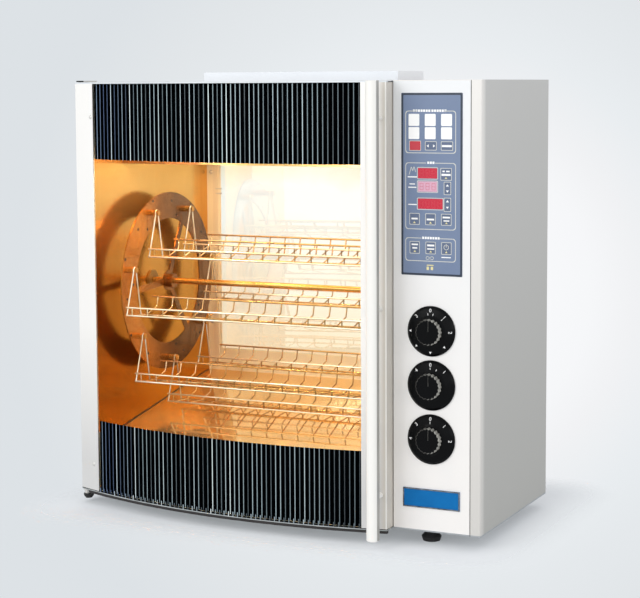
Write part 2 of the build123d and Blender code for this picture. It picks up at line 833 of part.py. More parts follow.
def fan_motor():
    """Fan motor that stands on the ceiling, bored for the wheel's shaft."""
    z0 = z_ceiling + sheet
    motor = rod_z(x_fan, y_fan, z0 + 6, z0 + fan_motor_height, fan_motor_radius)
    motor = chamfer(motor.edges().group_by(Axis.Z)[-1], fan_motor_bevel)
    foot = fan_motor_foot
    motor += block(x_fan - foot, x_fan + foot, y_fan - foot / 4, y_fan + foot / 4, z0, z0 + 6)
    bore = rod_z(x_fan, y_fan, z0 - 1, z0 + fan_motor_height / 2 + 1, fan_shaft_radius + running_clearance)
    return motor - bore


# Rear window


def rear_glass():
    """Curved rear pane."""
    return arc_band(rear_arc, 1, x_left + 6, x_column - 6, 0, -rear_glass_thick,
                    z_sill - window_overlap, z_head + window_overlap)


def rear_glass_frame():
    """Bowed top and bottom caps and two side strips that hold the rear pane on the back panel."""
    z0 = z_sill - window_overlap
    z1 = z_head + window_overlap
    y0 = y_back + sheet
    inner = -rear_glass_thick - slip
    frame = crescent(rear_arc, 1, x_left, x_column, y0, 0, z0 - rear_cap_height, z0 - slip)
    frame += crescent(rear_arc, 1, x_left, x_column, y0, 0, z1 + slip, z1 + rear_cap_height)
    for xa, xb in ((x_left, x_left + rear_strip_width), (x_column - rear_strip_width, x_column)):
        frame += crescent(rear_arc, 1, xa, xb, y0, inner, z0 - slip, z1 + slip)
    for xa, xb in ((x_left, x_left + 6 - slip), (x_column - 6 + slip, x_column)):
        frame += crescent(rear_arc, 1, xa, xb, y0, 0, z0 - slip, z1 + slip)
    return frame


# Door


def door_glass():
    """Bowed outer pane of the door."""
    return arc_band(door_arc, -1, x_left + glass_left_inset, x_door_right - 2 * sheet, 0, -door_glass_thick,
                    z_door_low + door_rim + slip, z_door_high - door_rim - slip)


def door_left_stile():
    """Stainless stile on the hinge side, bowed with the pane and folded back to the inner frame."""
    z0, z1 = z_door_low + door_rim, z_door_high - door_rim
    face = arc_band(door_arc, -1, x_left, x_left + left_stile_width, sheet, 0.1, z0, z1)
    return face + crescent(door_arc, -1, x_left, x_left + sheet, y_door_back - sheet, 0.1, z0, z1)


def door_right_stile():
    """Stainless stile on the handle side, folded back beside the column."""
    z0, z1 = z_door_low + door_rim, z_door_high - door_rim
    x0 = x_door_right - right_stile_width
    face = arc_band(door_arc, -1, x0, x_door_right, sheet, 0.1, z0, z1)
    return face + crescent(door_arc, -1, x_door_right - sheet, x_door_right, y_door_back - sheet, 0.1, z0, z1)


def door_cap(z_outer, z_inner):
    """Crescent plate that closes the door above or below, with a rim along the bow."""
    z_plate = z_outer + (sheet if z_inner > z_outer else -sheet)
    plate = crescent(door_arc, -1, x_left, x_door_right, y_door_back, sheet,
                     min(z_outer, z_plate), max(z_outer, z_plate))
    rim = arc_band(door_arc, -1, x_left, x_door_right, sheet, -door_glass_thick,
                   min(z_outer, z_inner), max(z_outer, z_inner))
    boss_end = z_outer + (bush_height if z_inner > z_outer else -bush_height)
    boss = rod_z(x_hinge, y_hinge, min(z_outer, boss_end), max(z_outer, boss_end), bush_radius)
    bore = rod_z(x_hinge, y_hinge, min(z_outer, boss_end) - 1, max(z_outer, boss_end) + 1,
                 hinge_pin_radius + hinge_clearance)
    return plate + rim + boss - bore


def door_inner_frame():
    """Flat frame on the back of the door that carries the gasket."""
    plate = block(x_left, x_door_right, y_door_back - sheet, y_door_back,
                  z_door_low + sheet, z_door_high - sheet)
    hole = block(x_wall_left, x_wall_right, y_door_back - sheet - 1, y_door_back + 1,
                 z_apron + inner_frame_margin, z_header - inner_frame_margin)
    return plate - hole


def door_gasket():
    """Silicone gasket that closes the gap to the chamber's front frame."""
    z0 = z_apron + inner_frame_margin
    z1 = z_header - inner_frame_margin
    y0, y1 = y_door_back, y_chamber - slip
    w = gasket_width
    ring = block(x_wall_left - w, x_wall_right + w, y0, y1, z0 - 2 * w - inner_frame_margin,
                 z1 + 2 * w + inner_frame_margin)
    return ring - block(x_wall_left, x_wall_right, y0 - 1, y1 + 1, z0 - w - inner_frame_margin,
                        z1 + w + inner_frame_margin)


def door_bottom_seal():
    """Dark sweep strip under the bowed edge."""
    return arc_band(door_arc, -1, x_left + seal_inset, x_door_right, sheet, -door_glass_thick,
                    z_door_low - seal_drop, z_door_low)


def door_handle():
    """Full-height bar with a rounded front, on three posts."""
    y_seat = arc_y(door_arc, handle_x, sheet, -1)
    y1 = y_seat - handle_gap
    y0 = y1 - handle_depth
    half = handle_width / 2
    nose = 7.0
    outline = Polyline((handle_x - half, y0 + nose), (handle_x - half, y1), (handle_x + half, y1),
                       (handle_x + half, y0 + nose))
    front = ThreePointArc((handle_x + half, y0 + nose), (handle_x, y0), (handle_x - half, y0 + nose))
    z0 = z_door_low - handle_hang
    bar = Pos(0, 0, z0) * extrude(make_face(outline + front), z_door_high - z0)
    bar = chamfer(bar.edges().group_by(Axis.Z)[0], 2)
    z_mid = (z_door_low + z_door_high) / 2
    for z in (z_mid - handle_post_pitch, z_mid, z_mid + handle_post_pitch):
        bar += rod_y(handle_x, y1 - 1, y_seat + handle_post_radius, z, handle_post_radius)
    seat = arc_band(door_arc, -1, handle_x - handle_width, handle_x + handle_width / 2, sheet, -handle_gap,
                    z0 - 1, z_door_high + 1)
    return bar - seat


def hinge_bracket(z_plate, z_pin, reach):
    """Hinge plate fixed to the body, with its pin turned into the door."""
    z0, z1 = z_plate
    plate = block(x_hinge - 7, x_hinge + reach, y_hinge - 8, y_chamber + 34, z0, z1)
    plate = fillet(plate.edges().filter_by(Axis.Z).group_by(Axis.Y)[0], 5)
    return plate + rod_z(x_hinge, y_hinge, min(z0, z_pin), max(z1, z_pin), hinge_pin_radius)


def pivot_cap():
    """Domed cap on a short boss under the lower hinge plate."""
    z1 = z_base - pivot_cap_drop
    cap = Pos(x_hinge + pivot_cap_shift, y_hinge, z1) * turned([
        (0, 0), (pivot_cap_radius, 0), (pivot_cap_radius * 0.92, -pivot_cap_height * 0.5),
        (pivot_cap_radius * 0.6, -pivot_cap_height), (0, -pivot_cap_height),
    ])
    return cap + rod_z(x_hinge, y_hinge, z1 - 1, z_base - hinge_plate / 2, bush_radius)


# Rotor


def drive_ring(x0, side):
    """Plate ring with spokes and a hub, clamped on the shaft."""
    plate = Circle(ring_radius) - Circle(ring_inner_radius) + Circle(hub_radius)
    reach = (ring_inner_radius + hub_radius) / 2
    for i in range(spoke_count):
        spoke = Pos(0, reach) * Rectangle(spoke_width, ring_inner_radius - hub_radius + 8)
        plate += Rot(0, 0, -(spoke_phase + 360 * i / spoke_count)) * spoke
    plane = Plane(origin=(x0, y_rotor, z_rotor), x_dir=(0, 1, 0), z_dir=(1, 0, 0))
    ring = plane * extrude(plate, ring_thick)
    x_hub = x0 + ring_thick if side < 0 else x0 - hub_length
    ring += rod_x(x_hub, x_hub + hub_length, y_rotor, z_rotor, hub_radius * 0.7)
    return ring - rod_x(x0 - hub_length - 1, x0 + hub_length + ring_thick + 1, y_rotor, z_rotor,
                        shaft_radius + running_clearance)


def main_shaft():
    """Through shaft that carries both rings and ends in the left bearing and the gearbox."""
    return rod_x(x_left + 12, x_column + sheet + gearbox[0] * 0.6, y_rotor, z_rotor, shaft_radius)


def rotor_bearings():
    """Flanged bushes in the left and right walls."""
    solids = []
    for x0, x1, flange in (
        (x_left + 10, x_wall_left + 4, x_wall_left),
        (x_wall_right - 4, x_column + sheet, x_wall_right - bearing_flange_thick),
    ):
        bush = rod_x(x0, x1, y_rotor, z_rotor, bearing_radius)
        bush += rod_x(flange, flange + bearing_flange_thick, y_rotor, z_rotor, bearing_flange_radius - 1)
        solids.append(bush - rod_x(x0 - 9, x1 + 9, y_rotor, z_rotor, shaft_radius + running_clearance))
    return Compound(children=solids)


def pin_places():
    """Centres of the basket pins in Y and Z."""
    places = []
    for i in range(basket_count):
        a = radians(basket_phase + 360 * i / basket_count)
        places.append((y_rotor + pin_circle_radius * sin(a), z_rotor + pin_circle_radius * cos(a)))
    return places


def basket_pins():
    """Pins welded on both rings: a hexagon spacer, the round journal and a hexagon retaining head."""
    solids = []
    marks = (0, pin_collar_length - slip, pin_collar_length + wire + slip)
    end = marks[-1] + pin_end_length
    for y, z in pin_places():
        for x_ring, way in ((x_ring_left + ring_thick, 1), (x_ring_right, -1)):
            pin = rod_x(*sorted((x_ring + way * marks[1], x_ring + way * marks[2])), y, z, pin_radius)
            for start, stop in ((marks[0], marks[1]), (marks[2], end)):
                x = min(x_ring + way * start, x_ring + way * stop)
                face = Plane(origin=(x, y, z), z_dir=(1, 0, 0)) * RegularPolygon(pin_hex_radius, 6)
                pin += extrude(face, stop - start)
            solids.append(pin)
    return Compound(children=solids)


def basket_shape():
    """One welded wire basket, hung from the X axis by an eye at each end."""
    x0, x1 = x_basket_left + wire / 2, x_basket_right - wire / 2
    half = wire / 2
    rails = (
        (-basket_front, -basket_rim_drop), (-basket_front, -basket_front_drop),
        (basket_keel, -basket_keel_drop), (basket_rail_back, -basket_rail_drop),
    )
    basket = None
    for y, z in rails:
        rail = block(x0 - half, x1 + half, y - half, y + half, z - half, z + half)
        basket = rail if basket is None else basket + rail
    section = [
        (-basket_front, -basket_rim_drop), (-basket_front, -basket_front_drop),
        (basket_keel, -basket_keel_drop), (basket_back, -basket_back_drop),
        (basket_rail_back, -basket_rail_drop),
    ]
    pitch = (x1 - x0 - 2 * cross_wire_inset) / (cross_wire_count - 1)
    for i in range(cross_wire_count):
        basket += bent_wire(section, x0 + cross_wire_inset + i * pitch, wire * 0.8)
    foot = eye_radius * 0.7
    for x in (x0, x1):
        legs = bent_wire([(-foot * 0.6, -foot), (-basket_front, -basket_front_drop)], x, wire)
        legs += bent_wire([(foot * 0.6, -foot), (basket_keel, -basket_keel_drop)], x, wire)
        eye = rod_x(x - half, x + half, 0, 0, eye_radius)
        basket += legs + eye
    return basket - rod_x(x0 - 9, x1 + 9, 0, 0, pin_radius + running_clearance)


# Drive


def drive_motor():
    """Gear motor on the partition, with a hollow output that takes the rotor shaft."""
    x0 = x_column + sheet
    gx, gy, gz = gearbox
    y0, y1 = y_rotor - gy / 2, y_rotor + gy / 2
    case = block(x0, x0 + gx, y0, y1, z_rotor - gz / 2, z_rotor + gz / 2)
    case = fillet(case.edges().filter_by(Axis.X), 8)
    can = rod_y(x0 + gx / 2 + 4, y0 - motor_length, y0, z_rotor, motor_radius * 0.8)
    feet_plate = block(x0, x0 + 3, y0 - 14, y1 + 14, z_rotor - gz / 3, z_rotor + gz / 3)
    bore = rod_x(x0 - 1, x0 + gx * 0.7, y_rotor, z_rotor, shaft_radius + running_clearance)
    return case + can + feet_plate - bore


def main():
    save(base_plate(), "base_plate")
    save(feet(), "feet")
    save(left_side_panel(), "left_side_panel")
    save(chamber_front_frame(), "chamber_front_frame")
    save(back_panel(), "back_panel")
    save(top_panel(), "top_panel")
    save(vent_cover(), "vent_cover")
    save(control_side_panel(), "control_side_panel")
    save(control_fascia(), "control_fascia")
    save(column_partition(), "column_partition")
    save(control_back_panel(), "control_back_panel")
    save(cable_gland(), "cable_gland")
    save(keypad_overlay(), "keypad_overlay")
    save(display_lenses(), "display_lenses")
    save(control_board(), "control_board")
    save(badge_plate(), "badge_plate")
    for z, name in zip(z_knobs, ("upper_knob", "middle_knob", "lower_knob")):
        save(knob(z), name)
    save(rotary_body(z_knobs[0], control_body, control_body_depth), "thermostat_body")
    save(rotary_body(z_knobs[1], control_body + 8, control_body_depth + 14), "timer_body")
    save(rotary_body(z_knobs[2], control_body - 6, control_body_depth), "selector_switch")
    save(left_liner(), "left_liner")
    save(right_liner(), "right_liner")
    save(cavity_floor(), "cavity_floor")
    save(cavity_ceiling(), "cavity_ceiling")
    save(ceiling_baffle(), "ceiling_baffle")
    save(insulation(), "insulation")
    save(heating_elements(), "heating_elements")
    save(heater_brackets(), "heater_brackets")
    save(temperature_probe(), "temperature_probe")
    save(lamp_covers(), "lamp_covers")
    save(lamp_sockets(), "lamp_sockets")
    save(fan_wheel(), "fan_wheel")
    save(fan_motor(), "fan_motor")
    save(rear_glass(), "rear_glass")
    save(rear_glass_frame(), "rear_glass_frame")
    save(door_glass(), "door_glass")
    save(door_left_stile(), "door_left_stile")
    save(door_right_stile(), "door_right_stile")
    save(door_cap(z_door_high, z_door_high - door_rim), "door_top_cap")
    save(door_cap(z_door_low, z_door_low + door_rim), "door_bottom_cap")
    save(door_inner_frame(), "door_inner_frame")
    save(door_gasket(), "door_gasket")
    save(door_bottom_seal(), "door_bottom_seal")
    save(door_handle(), "door_handle")
    upper = hinge_bracket((z_top, z_top + hinge_plate), z_top - hinge_pin_length, hinge_plate_reach)
    lower = hinge_bracket((z_base - hinge_plate, z_base), z_base + hinge_pin_length, hinge_plate_stub)
    save(Compound(children=[upper, lower + pivot_cap()]), "door_hinges")
    save(drive_ring(x_ring_left, -1), "left_drive_ring")
    save(drive_ring(x_ring_right, 1), "right_drive_ring")
    save(main_shaft(), "main_shaft")
    save(rotor_bearings(), "rotor_bearings")
    save(basket_pins(), "basket_pins")
    basket = basket_shape()
    for i, (y, z) in enumerate(pin_places()):
        save(Pos(0, y, z) * basket, "basket_" + str(i + 1))
    save(drive_motor(), "drive_motor")


if __name__ == "__main__":
    main()
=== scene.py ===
"""Rotisserie convection oven with a bowed glass door: visible detail, materials, camera and light."""
import math
from contextlib import contextmanager
from functools import lru_cache
import bmesh
import bpy
from bpy.props import FloatProperty, FloatVectorProperty, IntProperty, PointerProperty
from mathutils import Matrix, Vector


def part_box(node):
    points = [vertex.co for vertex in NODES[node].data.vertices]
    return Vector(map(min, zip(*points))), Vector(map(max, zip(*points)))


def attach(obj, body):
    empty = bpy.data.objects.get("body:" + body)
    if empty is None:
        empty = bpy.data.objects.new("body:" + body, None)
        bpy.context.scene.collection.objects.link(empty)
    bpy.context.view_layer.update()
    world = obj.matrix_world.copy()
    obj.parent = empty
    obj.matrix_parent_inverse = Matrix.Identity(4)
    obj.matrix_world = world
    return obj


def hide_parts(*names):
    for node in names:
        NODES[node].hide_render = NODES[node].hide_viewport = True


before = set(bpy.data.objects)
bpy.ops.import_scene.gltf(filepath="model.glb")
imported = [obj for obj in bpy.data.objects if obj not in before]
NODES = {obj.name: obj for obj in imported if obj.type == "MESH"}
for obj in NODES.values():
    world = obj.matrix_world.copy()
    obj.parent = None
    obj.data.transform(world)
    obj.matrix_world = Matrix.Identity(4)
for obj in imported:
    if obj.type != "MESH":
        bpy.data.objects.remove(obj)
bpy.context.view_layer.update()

bl_info = {
    "name": "Rotisserie oven",
    "version": (1, 0, 0),
    "blender": (4, 5, 0),
    "location": "View3D > Sidebar > Oven",
    "description": "Builds the visible detail of a rotisserie convection oven over its CAD frame",
    "category": "Object",
}


# Places read from the CAD frame, in metres


def low(node):
    """Lowest corner of a CAD node."""
    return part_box(node)[0]


def high(node):
    """Highest corner of a CAD node."""
    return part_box(node)[1]


def middle(node):
    """Centre of a CAD node's box."""
    return (low(node) + high(node)) / 2


FACE_Y = high("keypad_overlay").y
CHAMBER_Y = low("chamber_front_frame").y
BASE_Z = low("base_plate").z
TOP_Z = high("top_panel").z
ROTOR = middle("left_drive_ring")
BASKETS = sorted(node for node in NODES if node.startswith("basket_") and node[7:].isdigit())

# The door's bow in plan, as the CAD draws it
DOOR_LEFT = low("door_top_cap").x
DOOR_RIGHT = high("door_top_cap").x
DOOR_BOW = 0.060
DOOR_STANDS_OFF = (0.018, 0.084)


def door_circle():
    """Centre and radius of the outer face of the pane, through its two ends and its bow."""
    ax, ay = DOOR_LEFT, CHAMBER_Y - DOOR_STANDS_OFF[0]
    bx, by = DOOR_RIGHT, CHAMBER_Y - DOOR_STANDS_OFF[1]
    chord = math.hypot(bx - ax, by - ay)
    radius = (chord * chord / 4 + DOOR_BOW * DOOR_BOW) / (2 * DOOR_BOW)
    nx, ny = (by - ay) / chord, -(bx - ax) / chord
    reach = radius - DOOR_BOW
    return (ax + bx) / 2 - nx * reach, (ay + by) / 2 - ny * reach, radius


DOOR_X, DOOR_Y, DOOR_R = door_circle()


def door_y(x, offset=0.0):
    """Y of the pane's outer face at x, moved outwards by offset."""
    return DOOR_Y - math.sqrt((DOOR_R + offset) ** 2 - (x - DOOR_X) ** 2)


# The three display windows: Z of the lower edge, count of digits, width in millimetres. A digit's middle is higher
DISPLAYS = ((0.761, 3, 42), (0.734, 3, 42), (0.699, 4, 54))
DIGIT_RISE = 0.0105


# Node helpers


def srgb(code):
    """Linear colour of a six-figure sRGB code."""
    parts = [int(code[i:i + 2], 16) / 255 for i in (0, 2, 4)]
    return tuple(v / 12.92 if v <= 0.04045 else ((v + 0.055) / 1.055) ** 2.4 for v in parts) + (1.0,)


def add(tree, kind, settings=None, stops=(), **inputs):
    """Adds a node. Base_Color names a socket and i2 counts to it; a value is a constant, a colour code, a socket
    or a node, which gives its first open output. Stops fill a colour ramp."""
    node = tree.nodes.new(kind if "Node" in kind else "ShaderNode" + kind)
    for name, value in (settings or {}).items():
        setattr(node, name, value)
    for place, (position, code) in enumerate(stops[:1] + stops[-1:] + stops[1:-1]):
        ramp = node.color_ramp.elements
        stop = ramp[place] if place < 2 else ramp.new(position)
        stop.position, stop.color = position, srgb(code)
    for name, value in inputs.items():
        by_count = name[0] == "i" and name[1:].isdigit()
        socket = node.inputs[int(name[1:])] if by_count else node.inputs[name.replace("_", " ")]
        if isinstance(value, bpy.types.Node):
            value = next(out for out in value.outputs if out.enabled)
        if isinstance(value, bpy.types.NodeSocket):
            tree.links.new(value, socket)
        else:
            socket.default_value = srgb(value) if socket.type == "RGBA" and isinstance(value, str) else value
    return node


def new_material(name):
    """An empty node material and its tree."""
    mat = bpy.data.materials.new(name)
    mat.use_nodes = True
    mat.node_tree.nodes.clear()
    return mat, mat.node_tree


def noise(tree, size, detail=3.0):
    """A noise value whose cells are so many millimetres wide, or so wide along X, Y and Z."""
    sizes = size if isinstance(size, tuple) else (size, size, size)
    spot = add(tree, "Mapping", Vector=add(tree, "TexCoord").outputs["Object"], Scale=[1000 / mm for mm in sizes])
    return add(tree, "TexNoise", Vector=spot, Scale=1.0, Detail=detail)


def guide(tree, value, start=0.3, end=0.7, thin=0.0, full=1.0):
    """Runs from thin to full as a value climbs from start to end. The value is a node or socket, the size of a
    noise, or an axis: X is the place along it in metres, facing X how far the surface faces along it, and square X
    the same either way."""
    if isinstance(value, (int, float, tuple)):
        value = noise(tree, value)
    elif isinstance(value, str):
        *way, axis = value.split()
        source = add(tree, "NewGeometry").outputs["Normal"] if way else add(tree, "TexCoord").outputs["Object"]
        value = add(tree, "SeparateXYZ", Vector=source).outputs[axis]
        if way == ["square"]:
            value = add(tree, "Math", {"operation": "ABSOLUTE"}, i0=value)
    return add(tree, "MapRange", Value=value, i1=start, i2=end, i3=thin, i4=full)


def cover(tree, guides, fine=None):
    """How much of a layer shows: its guides, multiplied. The value grain stands for the finish's own grain."""
    amount = None
    for value, *span in guides:
        share = guide(tree, fine if value == "grain" else value, *span)
        amount = add(tree, "Math", {"operation": "MULTIPLY"}, i0=amount, i1=share) if amount else share
    return amount


def paint(tree, layers, fine=None):
    """A colour, or a base and layers over it, each with its own paint and the guides of its cover."""
    if not isinstance(layers, tuple):
        return layers
    colour = paint(tree, layers[0], fine)
    for over, *guides in layers[1:]:
        colour = add(tree, "Mix", {"data_type": "RGBA"}, i0=cover(tree, guides, fine), i6=colour,
                     i7=paint(tree, over, fine))
    return colour


def coat(name, layers, rough, grain=None, bump=0.0, detail=2.0, depth=0.0002, buckle=None, **sockets):
    """Maker of a finish. Layers give its colour; a grain of so many millimetres, with finer detail, its uneven
    gloss and its relief; and buckle the size, strength and depth of the slow waves in a sheet."""
    def make():
        mat, tree = new_material(name)
        fine = noise(tree, grain, detail) if grain else None
        ends = dict(sockets, Base_Color=paint(tree, layers, fine))
        ends["Roughness"] = guide(tree, fine, 0.3, 0.7, *rough) if grain else rough
        if "Emission_Strength" in sockets:
            ends["Emission_Color"] = ends["Base_Color"]
        below = {}
        if buckle:
            size, strength, deep = buckle
            below["Normal"] = add(tree, "Bump", Strength=strength, Distance=deep, Height=noise(tree, size, 1.0))
        if bump:
            below["Normal"] = add(tree, "Bump", Strength=bump, Distance=depth, Height=fine, **below)
        body = add(tree, "BsdfPrincipled", **ends, **below)
        add(tree, "OutputMaterial", Surface=body)
        return mat
    return make


def pane(name, tint, gloss, span, blend=0.25, rough=0.02, mirror=(1, 1, 1, 1), smear=None):
    """Maker of a glass: tinted see-through, with a reflection that grows towards grazing. It is kept on the face
    met from the air and dropped where the ray leaves the glass. Wiping smears it over 110 mm."""
    def make():
        mat, tree = new_material(name)
        guides = [(add(tree, "LayerWeight", Blend=blend), *span, *gloss)]
        guides += [(111.1, 0.3, 0.7, *smear)] if smear else []
        guides += [(add(tree, "NewGeometry").outputs["Backfacing"], 0.0, 1.0, 1.0, 0.0)]
        amount = cover(tree, guides)
        through = add(tree, "BsdfTransparent", Color=tint(tree) if callable(tint) else tint)
        shine = add(tree, "BsdfGlossy", Color=mirror, Roughness=rough)
        add(tree, "OutputMaterial", Surface=add(tree, "MixShader", i0=amount, i1=through, i2=shine))
        return mat
    return make


# What the real surfaces look like. Sizes are those of the real pattern in millimetres. Brush lines (0.05 mm),
# moulding grain and powder grain (0.1 mm) are too fine to show, so they are drawn from 0.2 to 1.1 mm wide.

BRUSHED = (0.208, 0.208, 15.6)
GRAIN = 1.111
FINE_GRAIN = 0.556
# Span of the oven's height over which painted light changes: the skin pales upwards, the fascia darkens upwards
PAINTED_LIGHT_CLIMB = ("Z", BASE_Z, TOP_Z)
STREAKS = ((200, 200, 666.7),)
PINK_Z = DISPLAYS[1][0] + DIGIT_RISE
HANDLE_BACK = low("door_handle").y + 0.0200
SILL_Z = low("door_bottom_cap").z


def rear_tint(tree):
    """Amber tint towards the bottom and a trace of it under the header, painted reflection of the lit chamber, uneven
    over 250 mm.
    """
    drift = guide(tree, 250, 0.3, 0.7, -0.04, 0.04)
    z = add(tree, "SeparateXYZ", Vector=add(tree, "TexCoord").outputs["Object"]).outputs["Z"]
    painted_reflection_z = add(tree, "Math", {"operation": "ADD"}, i0=z, i1=drift)
    return paint(tree, ("FDEFDC", ("FFFFFE", (painted_reflection_z, 0.30, 0.62)), ("F8EFD6", (painted_reflection_z, 0.70, 0.78, 0.0, 0.6))))


def gap_lines():
    """Clear gaps in the door print, drawn as strips painted with the light seen through them: a random share each,
    bluer at the left, darker low down, with a faint glow.
    """
    mat, tree = new_material("gaps of the door print")
    shade = add(tree, "Attribute", {"attribute_name": "shade"}).outputs["Fac"]
    light = add(tree, "ValToRGB", None, ((0.0, "2C343A"), (0.5, "6A7880"), (0.8, "A2B2BA"), (1.0, "E6F0F2")),
                i0=shade)
    blue = add(tree, "Mix", {"data_type": "RGBA"}, i0=0.45, i6=light, i7="4A70B8")
    colour = paint(tree, (light, (blue, ("X", DOOR_LEFT + 0.06, DOOR_LEFT + 0.20, 0.8, 0.0)),
                          ("080A0C", ("Z", 0.15, 0.8, 0.15, 0.0))))
    body = add(tree, "BsdfPrincipled", Base_Color=colour, Roughness=guide(tree, shade, 0.0, 1.0, 0.4, 0.3),
               Emission_Color=colour, Emission_Strength=0.12)
    add(tree, "OutputMaterial", Surface=body)
    return mat


def lit_bulb():
    """Frosted bulb whose hot coil shows in patches of 17 mm: the warm point under each dome."""
    mat, tree = new_material("lit bulb")
    hot = guide(tree, 16.67, 0.3, 0.7, 12.6, 15.4)
    add(tree, "OutputMaterial", Surface=add(tree, "Emission", Color="FFD9A0", Strength=hot))
    return mat


def enamel(name, one, two):
    """Screen print or solder mask: an even colour with a soft gloss."""
    return coat(name, (one, (two, (40,))), (0.3, 0.4), FINE_GRAIN, 0.03)


def satin(name, one, two, metal):
    """Brushed stainless sheet: soft upright streaks in long clouds."""
    return coat(name, (one, (two, STREAKS)), (0.3, 0.46), BRUSHED, 0.05, Metallic=metal)


